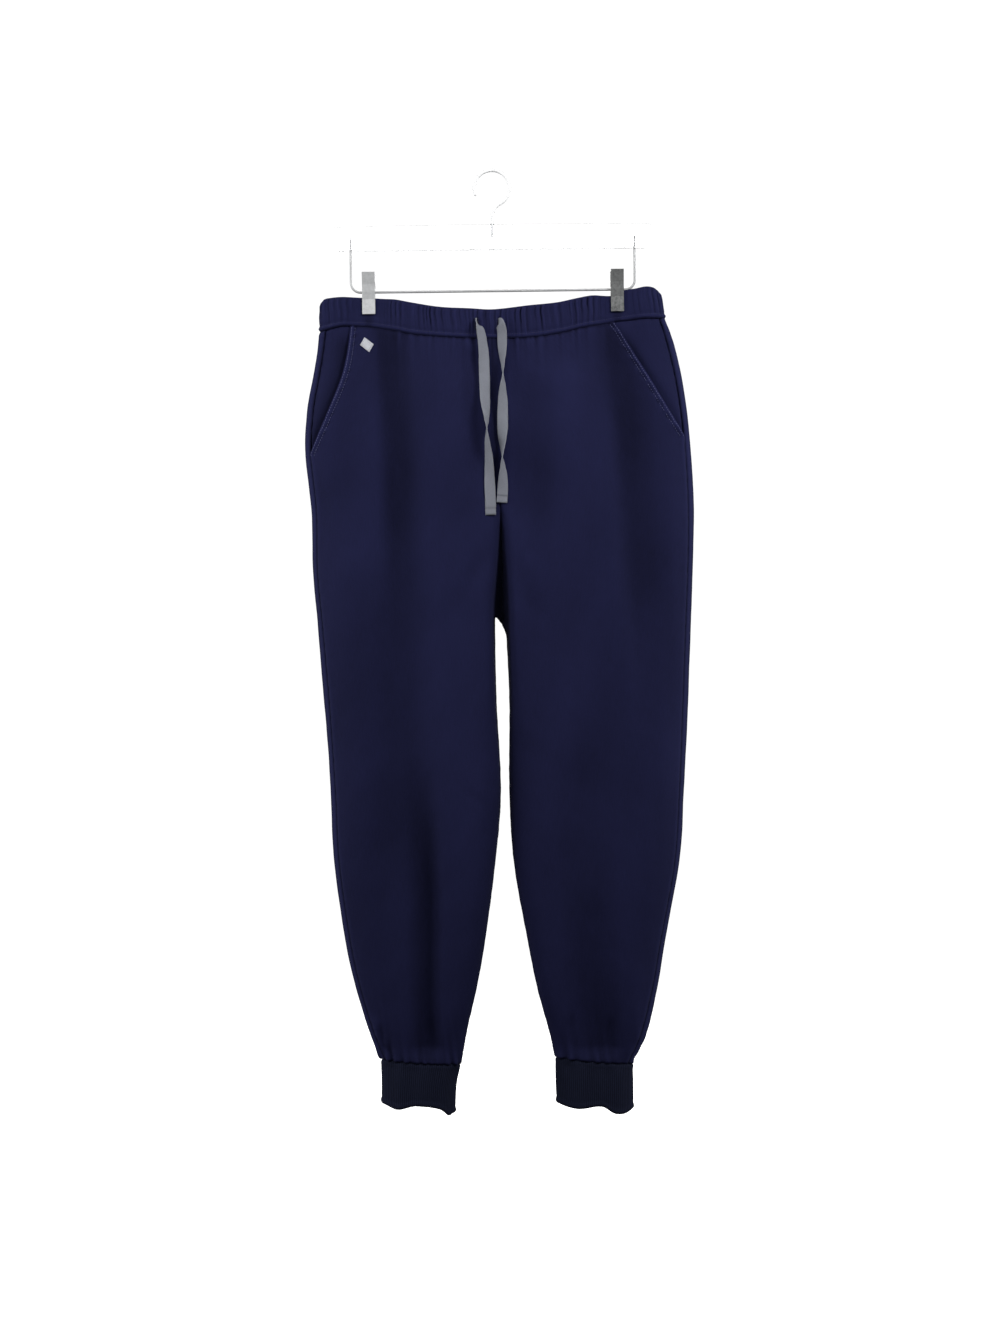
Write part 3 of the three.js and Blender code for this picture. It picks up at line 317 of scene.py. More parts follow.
# The drawstring's ends: x, height, how far out of the cloth, and the width's turn and lean in degrees.
TAPES = {
    "right": (
        (-18.6, -190.5, -4.5, 0, -90),
        (-18.6, -190.5, 0, 0, -90),
        (-18.4, -190.2, 2.6, 12, -84),
        (-17.6, -190.6, 5.4, 30, -62),
        (-16.2, -193, 7.6, 40, -44),
        (-14.4, -197, 7.6, 40, -26),
        (-12.6, -203, 6.4, 36, -10),
        (-11.2, -210, 5.6, 33, 0),
        (-10, -222, 5, 26, 0),
        (-9.2, -238, 4, 12, 0),
        (-8.6, -256, 3, 4, 0),
        (-8, -274, 3.6, 14, 0),
        (-7.4, -292, 5.8, 34, 0),
        (-6.4, -308, 8, 62, 0),
        (-5.6, -323, 8.8, 92, 0),
        (-4.8, -338, 8.2, 116, 0),
        (-3.8, -352, 6.6, 132, 0),
        (-2.9, -368, 5.6, 146, 0),
        (-2.1, -386, 4.2, 166, 0),
        (-1.3, -406, 3, 178, 0),
        (-0.8, -428, 2.8, 180, 0),
    ),
    "left": (
        (9.2, -190, -4.5, 0, 90),
        (9.2, -190, 0, 0, 90),
        (9.4, -189.8, 2.4, -10, 84),
        (10, -190.2, 4.8, -24, 64),
        (11, -192.6, 6.6, -34, 46),
        (12, -197, 6.8, -34, 28),
        (12.8, -203, 6, -30, 12),
        (13.2, -211, 5.2, -27, 0),
        (13.6, -222, 5.6, -40, 0),
        (14, -238, 7.8, -68, 0),
        (14.3, -254, 8.6, -92, 0),
        (14.2, -270, 7.6, -122, 0),
        (13.9, -286, 5, -150, 0),
        (13.7, -302, 3.6, -166, 0),
        (13.6, -318, 4.2, -188, 0),
        (13.5, -336, 7, -226, 0),
        (13.6, -355, 8.8, -266, 0),
        (13.9, -372, 7.2, -304, 0),
        (14.2, -388, 4.4, -334, 0),
        (13.6, -401, 3, -350, 0),
        (12.7, -413, 2.8, -356, 0),
    ),
}

# ---------- small tools ----------


def clamp(v, low=0.0, high=1.0):
    return np.clip(v, low, high)


def mix(a, b, share):
    return a + (b - a) * share


def smooth(start, end, v):
    t = clamp((v - start) / (end - start))
    return t * t * (3 - 2 * t)


def read(rows, column, at):
    """A column of a table between its rows, on a smooth curve through them."""
    rows = np.array(sorted(rows), float)
    key, value = rows[:, 0], rows[:, column]
    t = clamp(np.asarray(at, float), key[0], key[-1])
    i = np.clip(np.searchsorted(key, t) - 1, 0, len(key) - 2)
    n = np.arange(len(key))
    low, high = np.maximum(n - 1, 0), np.minimum(n + 1, len(key) - 1)
    slope = (value[high] - value[low]) / (key[high] - key[low])
    h = key[i + 1] - key[i]
    u = (t - key[i]) / h
    bend = u * (1 - u) ** 2 * slope[i] - u * u * (1 - u) * slope[i + 1]
    return mix(value[i], value[i + 1], u * u * (3 - 2 * u)) + h * bend


def ripple(at, pitch, seed, layers=5):
    """An uneven wave of about unit height along a length, with the same bumps each time."""
    chance = np.random.default_rng(seed)
    total = np.zeros_like(at)
    for _ in range(layers):
        wave = pitch * chance.uniform(0.6, 1.9)
        drift = 1.5 * np.sin(at / (7 * pitch) + chance.uniform(0, 6))
        total = total + np.sin(2 * math.pi * at / wave + drift + chance.uniform(0, 6))
    return total / math.sqrt(layers)


def unevenness(x, z, pitch, seed):
    """A soft uneven surface of about unit height over two lengths."""
    chance = np.random.default_rng(seed)
    total = 0
    for _ in range(7):
        angle = chance.uniform(0, math.pi)
        wave = 2 * math.pi / (pitch * chance.uniform(0.6, 1.8))
        total = total + np.sin(wave * (x * math.cos(angle) + z * math.sin(angle)) + chance.uniform(0, 6))
    return total / math.sqrt(7)


def bell(v, centre, half):
    """1 at the centre, fading softly to each side."""
    return np.exp(-(((v - centre) / half) ** 2))


def bells(v, rows):
    return sum(height * bell(v, centre, half) for height, centre, half in rows)


def gathers(at, away, seed, pitch, rows):
    """Uneven gathers along a seam that fade away from it."""
    return sum(height * np.exp(-away / reach) for height, reach in rows) * ripple(at, pitch, seed)


def rounded(inside, radius, least):
    """The share of a piece's thickness that is left near a rounded edge, at a distance inside it."""
    return np.sqrt(clamp(1 - (1 - inside / radius).clip(0) ** 2, least))


def length_along(points, axis):
    """How far along its row or column each point of a grid lies."""
    steps = np.linalg.norm(np.diff(points, axis=axis), axis=2)
    total = np.cumsum(steps, axis=axis)
    pad = [(0, 0), (0, 0)]
    pad[axis] = (1, 0)
    return np.pad(total, pad)


def path_length(points):
    return length_along(points[None], 1)[0]


def at_length(places, length, rows):
    """A path's rows at the given lengths along it."""
    return np.stack([np.interp(places, length, rows[:, n]) for n in range(3)], -1)


def unit(v):
    return v / np.maximum(np.linalg.norm(v, axis=-1, keepdims=True), 1e-9)


def moved(points, way, by):
    return points + way * by[..., None]


# ---------- the cloth's shape ----------


def cleft(front, z):
    """How far the body has parted into legs at a height: for the walls, the depth and the bottom."""
    top = np.where(front, FORK, BACK_FORK)
    down = clamp((top - z) / (top - CROTCH))
    return smooth(0, 1, down), smooth(0, CLEFT_SHARE, down), down**0.5


def clip_at(side):
    return SIGN[side] * CLIP_X - TILT * (BAR_TOP - RAIL_DROP)


def clip_pinch(x, z):
    """How far the clips pinch the cloth together: 1 under a clip, 0 away from both."""
    half = read(PINCH, 2, z)
    power = 2 + 2 * smooth(-230, -180, z)
    near = [np.exp(-((np.abs(x - clip_at(side)) / half) ** power)) for side in SIDES]
    return read(PINCH, 1, z) * np.maximum(*near)


def long_folds(rows, x, z):
    sink = np.zeros_like(x)
    for top, end, start, fade, x0, x1, x2, half, lean, deep in rows:
        along = clamp((top - z) / (top - end))
        line = mix(mix(x0, x1, clamp(2 * along)), mix(x1, x2, clamp(2 * along - 1)), along)
        line = line + 3 * np.sin(along * 9 + x0) * along * (1 - along)
        ends = (1 - smooth(top - start, top, z)) * smooth(end, end + fade, z)
        wide = half * (1 + lean * np.sign(x - line))
        sink = sink + deep * ends * np.exp(-(np.abs((x - line) / wide) ** FOLD_POWER))
    return sink


def short_creases(rows, x, z):
    sink = np.zeros_like(x)
    for x0, z0, x1, z1, half, deep in rows:
        long = math.hypot(x1 - x0, z1 - z0)
        ux, uz = (x1 - x0) / long, (z1 - z0) / long
        along = (x - x0) * ux + (z - z0) * uz
        bow = 0.06 * long * np.sin(math.pi * clamp(along / long))
        off = (x - x0) * uz - (z - z0) * ux - bow
        ends = smooth(-0.15 * long, 0.3 * long, along) * (1 - smooth(0.7 * long, 1.15 * long, along))
        sink = sink + 1.5 * deep * ends * bell(off, 0, half)
    return sink


def folded(face, x, z):
    """How deep the folds and creases of a face sink."""
    return long_folds(FOLDS[face], x, z) + short_creases(CREASES[face], x, z)


def skin(side, around, z):
    """Points of the cloth. around runs from 0 at the inner edge over the front to 1 at the outline, and
    on over the back to 2."""
    around, z = np.broadcast_arrays(np.asarray(around, float), np.asarray(z, float))
    front = around <= 1
    b = np.where(front, around, 2 - around)
    across = (1 - np.cos(math.pi * b)) / 2
    outer, inner = read(LEGS[side], 1, z), read(LEGS[side], 2, z)
    centre = read(CENTRE, 1, np.maximum(z, CROTCH))
    walls, deep, bottom = cleft(front, z)
    opened = mix(deep, bottom, clamp(1 - b / CROTCH_BOTTOM) ** 2)
    parted = clamp((CROTCH - z) / ARCH)
    arch = np.where(z >= CROTCH, 1, 1 - np.sqrt(1 - (1 - parted) ** 2))
    inside = mix(centre, inner, walls)
    bridge = clamp(1 - b / CROTCH_BRIDGE) ** 2 * arch * (centre - inside)
    x = inside + (outer - inside) * across + bridge

    apart = smooth(FORK + PARTING, CROTCH - PARTING, z)
    off = np.abs(2 * across - 1)
    thigh = mix(SHIN_POWER, THIGH_POWER, smooth(SHIN, CROTCH, z))
    inner_power = thigh + CLEFT_POWER * smooth(KNEE_LOW, KNEE_HIGH, z)
    at_cuff = smooth(CUFF_LEVEL + ANKLE_HIGH, CUFF_LEVEL + ANKLE_LOW, z)
    inner_power, leg_power = mix(inner_power, OVAL_POWER, at_cuff), mix(LEG_POWER, OVAL_POWER, at_cuff)
    body_arc = np.sqrt(1 - across**BODY_POWER)
    leg_arc = np.sqrt(np.maximum(1 - off**leg_power, 0))
    inner_arc = np.sqrt(np.maximum(1 - off**inner_power, 0))
    wide = mix(body_arc, np.where(across < 0.5, 1, leg_arc), apart)
    round_ = wide * np.where(across < 0.5, 1 - opened * (1 - inner_arc), 1)

    depth = np.where(front, read(DEPTHS, 1, z), read(DEPTHS, 2, z))
    fold = np.where(front, folded("front", x, z), folded("back", x, z))
    fold = fold * smooth(WAIST_LEVEL + 5, WAIST_LEVEL - FOLDS_IN, z)
    fold = fold * smooth(CUFF_LEVEL, CUFF_LEVEL + FOLDS_OUT, z)
    full = depth * round_ - fold * round_**2
    stand = mix(full, PINCHED, clip_pinch(x, z) * np.minimum(1, 2 * round_))
    back = CROTCH_BACK * walls * smooth(KNEE_LOW, CROTCH, z) * (1 - round_) * (1 - across) ** 2
    slant = CROTCH_SLANT * (centre - x) * bell(z, CROTCH, SLANT_TALL) * clamp(1 - b / SLANT_SHARE) ** 2
    return np.stack([x, np.where(front, -stand, stand) + back, z + slant], axis=-1)


def around_at(side, x, z):
    """The place on the front of a section whose x is given."""
    x, z = np.broadcast_arrays(np.asarray(x, float), np.asarray(z, float))
    low, high = np.zeros_like(z), np.ones_like(z)
    for _ in range(30):
        middle = (low + high) / 2
        short = skin(side, middle, z)[..., 0] * SIGN[side] < x * SIGN[side]
        low, high = np.where(short, middle, low), np.where(short, high, middle)
    return low


def side_seam(side, z):
    return around_at(side, read(LEGS[side], 1, z) - SIGN[side] * SEAM_INSET, z)


def front_end(side, z):
    """Where the front panel ends: at the pocket's edge or, below the pocket, at the side seam."""
    seam = side_seam(side, z)
    edge = around_at(side, read(POCKETS[side], 1, z), z)
    return np.where(z < pocket_foot(side), seam, np.minimum(seam, edge))


def pocket_foot(side):
    return POCKETS[side][-1][0]


def pocket_share(side, z):
    """1 beside the pocket's edge and 0 below it."""
    return smooth(pocket_foot(side) - 8, pocket_foot(side) + 14, z)


def free_of_clips(x, z):
    return 1 - np.minimum(1, 1.4 * clip_pinch(x, z))


def level_at(side, level, x):
    """Bends a level near the waist to the band's seam, and one near the cuff to the cuff's seam."""
    outer, inner = CUFFS[side]["seam"]
    top = CUFFS[side]["rows"][0]
    across = clamp((x - top[1]) / (top[2] - top[1]))
    waist = read(WAIST, 2, x) - SEAM - WAIST_LEVEL
    cuff = mix(outer, inner, across) + SEAM - CUFF_LEVEL
    near_waist = clamp((level - WAIST_LEVEL + BENT_WAIST) / BENT_WAIST) ** 2
    near_cuff = clamp((CUFF_LEVEL + BENT_CUFF - level) / BENT_CUFF) ** 2
    return level + waist * near_waist + cuff * near_cuff


def cloth_grid(side, around, level):
    """Points of the cloth for grids of places round a section and of levels."""
    return skin(side, around, level_at(side, level, skin(side, around, level)[..., 0]))


def grid_normals(points, outward):
    """The way out at each point of a grid. outward is 1 or -1, for the grid's handedness."""
    down = np.gradient(points, axis=0)
    across = np.gradient(points, axis=1)
    return outward * unit(np.cross(down, across))


# ---------- meshes ----------


def link(obj, material):
    bpy.context.scene.collection.objects.link(obj)
    obj.data.materials.append(material)
    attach(obj, "root")
    return obj


def mesh_piece(name, points, faces, material, grain=None, hollow=None):
    """A smooth mesh from points in millimetres, faces of one size and a place on the cloth in metres.
    The painted shading given is about 1 in a deep fold and below 0 along a ridge, and the cloth's finish
    reads it to paint shade into the folds and highlights onto the ridges."""
    points = np.asarray(points, float) * MM
    faces = np.asarray(faces, int)
    count, sides = faces.shape
    mesh = bpy.data.meshes.new(name)
    mesh.vertices.add(len(points))
    mesh.vertices.foreach_set("co", points.ravel())
    mesh.loops.add(count * sides)
    mesh.loops.foreach_set("vertex_index", faces.ravel())
    mesh.polygons.add(count)
    mesh.polygons.foreach_set("loop_start", np.arange(0, count * sides, sides))
    mesh.polygons.foreach_set("use_smooth", np.ones(count, bool))
    if grain is not None:
        layer = mesh.uv_layers.new(name="grain")
        layer.data.foreach_set("uv", np.asarray(grain, float)[faces.ravel()].ravel())
    if hollow is not None:
        mesh.attributes.new("hollow", "FLOAT", "POINT").data.foreach_set("value", np.asarray(hollow, float))
    mesh.update(calc_edges=True)
    mesh.validate()
    return link(bpy.data.objects.new(name, mesh), material)


def shell_faces(rows, columns):
    """Faces of a closed shell: a grid outside, the same grid inside, and the rims between them."""
    spots = np.arange(rows * columns).reshape(rows, columns)
    a, b, c, d = spots[:-1, :-1], spots[:-1, 1:], spots[1:, 1:], spots[1:, :-1]
    n = spots.size
    faces = [np.stack([a, b, c, d], -1).reshape(-1, 4), np.stack([a, d, c, b], -1).reshape(-1, 4) + n]
    for rim in (spots[0, ::-1], spots[-1], spots[:, 0], spots[::-1, -1]):
        faces.append(np.stack([rim[:-1], rim[1:], rim[1:] + n, rim[:-1] + n], -1))
    return np.concatenate(faces)


def shell(name, middle, normal, half, material, grain, hollow=0.0):
    """A closed shell, half thick to each side of a grid of points."""
    size = middle.shape[:2]
    off = normal * np.broadcast_to(half, size)[..., None]
    points = np.concatenate([(middle + off).reshape(-1, 3), (middle - off).reshape(-1, 3)])
    faces = shell_faces(*size)
    a, b, c, d = (points[faces[:, n]] for n in range(4))
    volume = np.einsum("ij,ij->", a, np.cross(b, c)) + np.einsum("ij,ij->", a, np.cross(c, d))
    if volume < 0:
        faces = faces[:, ::-1]
    places = np.tile(np.stack(grain, -1).reshape(-1, 2) * MM, (2, 1))
    shades = np.tile(np.broadcast_to(hollow, size).ravel(), 2)
    return mesh_piece(name, points, faces, material, places, shades)


def circles(first, second, sides):
    """Points of a unit circle at each place of a route, between two ways across it."""
    angle = np.linspace(0, 2 * math.pi, sides, endpoint=False)[:, None]
    return np.cos(angle) * first[:, None] + np.sin(angle) * second[:, None]


def tube_faces(rings, sides):
    """Faces between rings of points that follow one another."""
    r, c = np.meshgrid(np.arange(rings - 1), np.arange(sides), indexing="ij")
    after = (c + 1) % sides
    faces = [r * sides + c, r * sides + after, (r + 1) * sides + after, (r + 1) * sides + c]
    return np.stack(faces, -1).reshape(-1, 4)


# How far each ring of a wire's domed end stands out and how wide it is, in shares of the radius.
DOME = ((0.6, 0.8), (0.95, 0.3))


def rod(name, route, radius, material, sides=16):
    """A round wire along a route in millimetres, with domed ends."""
    route = np.asarray(route, float)
    along = unit(np.gradient(route, axis=0))
    side = np.broadcast_to([0.0, 1.0, 0.0], along.shape)
    ring = radius * circles(unit(np.cross(along, side)), side, sides)
    rings = [*(route[:, None] + ring)]
    for lift, share in DOME:
        rings.insert(0, route[0] - along[0] * radius * lift + ring[0] * share)
        rings.append(route[-1] + along[-1] * radius * lift + ring[-1] * share)
    count = len(rings)
    obj = mesh_piece(name, np.reshape(rings, (-1, 3)), tube_faces(count, sides), material)
    close_ends(obj.data, sides, count)
    return obj


def close_ends(mesh, sides, rings):
    """Fills both open ends of a tube made ring by ring."""
    made = bmesh.new()
    made.from_mesh(mesh)
    made.verts.ensure_lookup_table()
    for first in (0, (rings - 1) * sides):
        made.faces.new([made.verts[first + n] for n in range(sides)])
    bmesh.ops.recalc_face_normals(made, faces=made.faces)
    made.to_mesh(mesh)
    made.free()


STITCH_SIDES = 6
# The rings of one stitch: share of its length, girth, and how far it stands out in shares of its width.
STITCH_RINGS = ((0.0, 0.25, -0.55), (0.12, 0.8, 0.0), (0.5, 1.0, 0.25), (0.88, 0.8, 0.0), (1.0, 0.25, -0.55))


def stitch_run(points, normals, pitch, long, wide):
    """Corners of a row of stitches along a line of points on the cloth, one stitch after another."""
    length = path_length(points)
    shares, girth, lift = np.array(STITCH_RINGS).T
    stitches = []
    for start in np.arange(0, length[-1] - long + 0.01, pitch):
        places = start + shares * long
        middle, out = at_length(places, length, points), unit(at_length(places, length, normals))
        across = unit(np.cross(unit(np.gradient(middle, axis=0)), out))
        ring = circles(across, out, STITCH_SIDES) * girth[:, None, None] * wide / 2
        stitches.append(moved(middle, out, lift * wide)[:, None] + ring)
    return np.reshape(stitches, (-1, 3))


def stitching(name, runs, material):
    """One piece of thread from several rows of stitches."""
    corners = np.concatenate(runs)
    one = tube_faces(len(STITCH_RINGS), STITCH_SIDES)
    first = np.arange(0, len(corners), len(STITCH_RINGS) * STITCH_SIDES)
    return mesh_piece(name, corners, (first[:, None, None] + one).reshape(-1, 4), material)


# ---------- finishes ----------


class Finish:
    """A material whose nodes are added one by one and linked as they are named."""

    def __init__(self, name):
        self.material = bpy.data.materials.new(name)
        self.material.use_nodes = True
        self.nodes = self.material.node_tree.nodes
        self.links = self.material.node_tree.links
        self.nodes.clear()

    def add(self, kind, inputs=None, **settings):
        node = self.nodes.new(kind)
        for key, value in settings.items():
            setattr(node, key, value)
        for key, value in (inputs or {}).items():
            socket = node.inputs[key]
            if isinstance(value, bpy.types.NodeSocket):
                self.links.new(value, socket)
            else:
                socket.default_value = value
        return node

    def grain(self):
        return self.add("ShaderNodeUVMap", uv_map="grain").outputs["UV"]

    def place(self):
        return self.add("ShaderNodeTexCoord").outputs["Object"]

    def mapped(self, vector, scale=(1, 1, 1), turn=0.0):
        inputs = {"Vector": vector, "Scale": scale, "Rotation": (0, 0, turn)}
        return self.add("ShaderNodeMapping", inputs).outputs["Vector"]

    def noise(self, vector, scale, detail=3.0, rough=0.5):
        inputs = {"Vector": vector, "Scale": scale, "Detail": detail, "Roughness": rough}
        return self.add("ShaderNodeTexNoise", inputs).outputs["Fac"]

    def bands(self, vector, pitch, direction="X", blur=0.0):
        inputs = {"Vector": vector, "Scale": math.pi / 10 / pitch, "Distortion": blur, "Detail": 1.0}
        node = self.add("ShaderNodeTexWave", inputs, wave_type="BANDS", bands_direction=direction)
        return node.outputs["Fac"]

    def range(self, value, low, high, start=0.0, end=1.0):
        inputs = {"Value": value, "From Min": start, "From Max": end, "To Min": low, "To Max": high}
        return self.add("ShaderNodeMapRange", inputs).outputs["Result"]

    def sum(self, total, *others):
        """The total and the given shares of the others, each a value and its share."""
        for value, share in others:
            scaled = self.times(value, share)
            total = self.add("ShaderNodeMath", {0: total, 1: scaled}, operation="ADD").outputs[0]
        return total

    def times(self, a, b):
        return self.add("ShaderNodeMath", {0: a, 1: b}, operation="MULTIPLY").outputs[0]

    def blend(self, share, a, b):
        node = self.add("ShaderNodeMix", {"Factor": share}, data_type="RGBA")
        for key, value in (("A", a), ("B", b)):
            socket = next(s for s in node.inputs if s.name == key and s.type == "RGBA")
            if isinstance(value, bpy.types.NodeSocket):
                self.links.new(value, socket)
            else:
                socket.default_value = (*value, 1)
        return next(s for s in node.outputs if s.type == "RGBA")

    def dye(self, tone, start, end, colour, dark, light):
        """From a dark to a light shade of a colour, as the tone goes from start to end."""
        return self.blend(self.range(tone, 0, 1, start, end), shade(colour, dark), shade(colour, light))

    # The painted shading: shade painted into folds, seams and hollows, highlights painted onto ridges.
    def hollow(self):
        return self.add("ShaderNodeAttribute", attribute_name="hollow").outputs["Fac"]

    def bump(self, height, distance, strength=1.0, under=None):
        inputs = {"Height": height, "Distance": distance, "Strength": strength}
        if under is not None:
            inputs["Normal"] = under
        return self.add("ShaderNodeBump", inputs).outputs["Normal"]

    def surface(self, colour, roughness, normal, **values):
        shader = self.add("ShaderNodeBsdfPrincipled")
        for key, value in (("Base Color", colour), ("Roughness", roughness), ("Normal", normal)):
            if isinstance(value, bpy.types.NodeSocket):
                self.links.new(value, shader.inputs[key])
            elif value is not None:
                shader.inputs[key].default_value = value
        for key, value in values.items():
            shader.inputs[key.replace("_", " ")].default_value = value
        output = self.add("ShaderNodeOutputMaterial")
        self.links.new(shader.outputs[0], output.inputs["Surface"])
        return self.material


def shade(colour, factor):
    return tuple(min(1.0, c * factor) for c in colour[:3])


def twill_finish(name, colour, pitch):
    """Smooth stretch twill: fine slanted ribs, uneven yarns, soft cloudy dye, and painted shade and
    highlights from the cloth's painted shading.
    """
    f = Finish(name)
    grain = f.grain()
    ribs = f.bands(f.mapped(grain, turn=math.radians(58)), pitch * MM, blur=0.6)
    yarns = f.noise(f.mapped(grain, (900, 70, 1)), 1.0, 2.0)
    cross = f.noise(f.mapped(grain, (70, 900, 1)), 1.0, 2.0)
    cloud = f.noise(f.mapped(grain, (1, 0.45, 1)), 9.0, 4.0, 0.6)
    nap = f.noise(grain, 420.0, 3.0, 0.7)
    uneven = ((f.range(yarns, -0.5, 0.5), 0.5), (ribs, 0.35), (f.range(nap, -0.5, 0.5), 0.35))
    # The tone takes in the painted shading: shade painted into folds, seams and hollows, highlights painted
    # onto ridges.
    tone = f.sum(f.range(cloud, -0.12, 0.12, 0.3, 0.7), *uneven, (f.hollow(), -0.65))
    rough = f.range(f.sum(nap, (yarns, 0.5)), 0.82, 0.98, 0.4, 1.1)
    fine = f.bump(f.sum(ribs, (yarns, 0.5), (cross, 0.4)), 0.00006, 0.55)
    soft = f.bump(f.noise(f.mapped(grain, (1, 0.6, 1)), 55.0, 3.0, 0.5), 0.0012, 0.22, fine)
    sheen = {"Sheen_Weight": 0.03, "Sheen_Roughness": 0.45, "Sheen_Tint": (0.42, 0.44, 0.8, 1)}
    colours = f.dye(tone, -0.7, 0.85, colour, 0.42, 1.38)
    return f.surface(colours, rough, soft, Specular_IOR_Level=0.05, **sheen)


def rib_finish(name, colour, pitch):
    """Ribbed knit: painted shade in the valleys between the ribs, painted highlights on the ribs, and small
    slanted loops along each.
    """
    f = Finish(name)
    grain = f.grain()
    ribs = f.bands(grain, pitch * MM)
    loops = f.bands(f.mapped(grain, (0.7, 1, 1), math.radians(24)), 1.3 * MM, "Y", 0.5)
    fuzz = f.noise(grain, 700.0, 3.0, 0.7)
    # The ribs' bands paint shade into the valleys and light onto the ribs' tops.
    tone = f.sum(f.times(ribs, 0.7), (loops, 0.18), (fuzz, 0.25))
    normal = f.bump(f.sum(loops, (fuzz, 0.6)), 0.00025, 0.6)
    sheen = {"Sheen_Weight": 0.03, "Sheen_Tint": (0.4, 0.42, 0.7, 1)}
    colours = f.dye(tone, 0.1, 1.1, colour, 0.4, 1.45)
    return f.surface(colours, f.range(fuzz, 0.85, 1.0), normal, Specular_IOR_Level=0.05, **sheen)


def tape_finish(name, colour):
    """Flat woven tape: small slanted twill ribs, crosswise picks, heathered yarns and painted shade along its
    sewn groove.
    """
    f = Finish(name)
    grain = f.grain()
    ribs = f.bands(f.mapped(grain, turn=math.radians(50)), 1.15 * MM, blur=0.8)
    picks = f.bands(grain, 0.55 * MM, "Y")
    heather = f.noise(f.mapped(grain, (300, 1600, 1)), 1.0, 2.0, 0.6)
    cloud = f.noise(grain, 60.0, 3.0)
    tone = f.sum(f.times(ribs, 0.4), (heather, 0.5), (picks, 0.15), (cloud, 0.35), (f.hollow(), -0.8))
    normal = f.bump(f.sum(ribs, (picks, 0.5), (heather, 0.5)), 0.00018, 0.7)
    colours = f.dye(tone, 0.2, 1.15, colour, 0.66, 1.3)
    return f.surface(colours, f.range(heather, 0.7, 0.92), normal, Specular_IOR_Level=0.15, Sheen_Weight=0.05)


def label_finish(name, colour):
    """Woven satin label: fine picks across it and ends along it."""
    f = Finish(name)
    grain = f.grain()
    picks = f.bands(grain, 0.42 * MM, "Y")
    ends = f.bands(grain, 0.3 * MM, "X")
    fuzz = f.noise(grain, 900.0, 2.0)
    tone = f.sum(f.times(picks, 0.5), (ends, 0.25), (fuzz, 0.5))
    normal = f.bump(f.sum(picks, (ends, 0.5)), 0.00012, 0.8)
    colours = f.dye(tone, 0.2, 1.1, colour, 0.7, 1.15)
    return f.surface(colours, f.range(fuzz, 0.5, 0.7), normal, Specular_IOR_Level=0.4, Sheen_Weight=0.15)


def thread_finish(name, colour):
    """Sewing thread: two plies that catch the light."""
    f = Finish(name)
    plies = f.noise(f.place(), 2600.0, 2.0, 0.6)
    colours = f.dye(plies, 0.3, 0.7, colour, 0.75, 1.3)
    normal = f.bump(plies, 0.00008, 0.7)
    return f.surface(colours, f.range(plies, 0.5, 0.75), normal, Specular_IOR_Level=0.3)


def steel_finish(name, colour, rough, mottle, metal, gloss):
    """Plated steel: fine drawn lines, dull spots and patches."""
    f = Finish(name)
    place = f.place()
    drawn = f.noise(f.mapped(place, (2500, 2500, 60)), 1.0, 2.0)
    spots = f.noise(place, 260.0, 4.0, 0.65)
    patches = f.noise(place, 70.0, 3.0, 0.6)
    dull = f.range(f.sum(spots, (patches, 0.8)), 0, mottle, 0.75, 1.1)
    colours = f.blend(dull, colour, shade(colour, 0.42))
    roughness = f.sum(f.range(drawn, rough - 0.06, rough + 0.1), (dull, 0.3))
    normal = f.bump(f.sum(drawn, (spots, 0.7)), 0.00004, 0.5)
    return f.surface(colours, roughness, normal, Metallic=metal, Specular_IOR_Level=gloss)


def clear_finish(name, colour):
    """Clear moulded plastic with faint flow lines and handling haze."""
    f = Finish(name)
    place = f.place()
    flow = f.noise(f.mapped(place, (14, 60, 60)), 1.0, 2.0)
    haze = f.noise(place, 90.0, 3.0, 0.6)
    colours = f.dye(flow, 0.3, 0.7, colour, 0.985, 1.0)
    normal = f.bump(flow, 0.0004, 0.12)
    return f.surface(colours, f.range(haze, 0.02, 0.14, 0.35, 0.8), normal, Transmission_Weight=1.0, IOR=1.47)


def paper_finish(name, colour, glow):
    """Matte studio paper."""
    f = Finish(name)
    fibre = f.noise(f.place(), 40.0, 3.0)
    normal = f.bump(fibre, 0.001, 0.05)
    colours = f.dye(fibre, 0.3, 0.7, colour, 0.985, 1.0)
    return f.surface(colours, 0.95, normal, Emission_Color=(1, 1, 1, 1), Emission_Strength=glow)


# ---------- settings ----------


def length_setting(name, description, default):
    return FloatProperty(name=name, description=description, default=default, unit="LENGTH")


def count_setting(name, description, default):
    return IntProperty(name=name, description=description, default=default, min=20, max=400)


def share_setting(name, description, default):
    return FloatProperty(name=name, description=description, default=default, min=0.0)


def power_setting(name, description, default):
    return FloatProperty(name=name, description=description, default=default, unit="POWER")


def colour_setting(name, description, default):
    return FloatVectorProperty(
        name=name, description=description, default=default, subtype="COLOR", size=3, min=0.0, max=1.0
    )


class JoggersClothSettings(bpy.types.PropertyGroup):
    """Sizes and colours of the sewn pieces."""

    navy: colour_setting("Navy cloth", "Dye of the panels, facings and waistband", (0.0104, 0.0114, 0.0400))
    rib_navy: colour_setting("Rib knit", "Dye of the knitted cuffs", (0.0088, 0.0106, 0.0235))
    thread: colour_setting("Thread", "Colour of the sewing thread", (0.0550, 0.0600, 0.1400))
    twill_pitch: length_setting("Twill pitch", "Distance between the slanted ribs of the cloth", 0.0009)
    gather: length_setting("Waistband gather", "Height of the waistband's gathers", 0.0019)
    rib_pitch: length_setting("Rib pitch", "Distance between the ribs of the cuffs", 0.0026)
    stitch: length_setting("Stitch length", "Length of one topstitch", 0.0026)
    rows: count_setting("Rows", "Rows of faces down a leg panel", 250)
    columns: count_setting("Columns", "Columns of faces over a leg panel", 84)


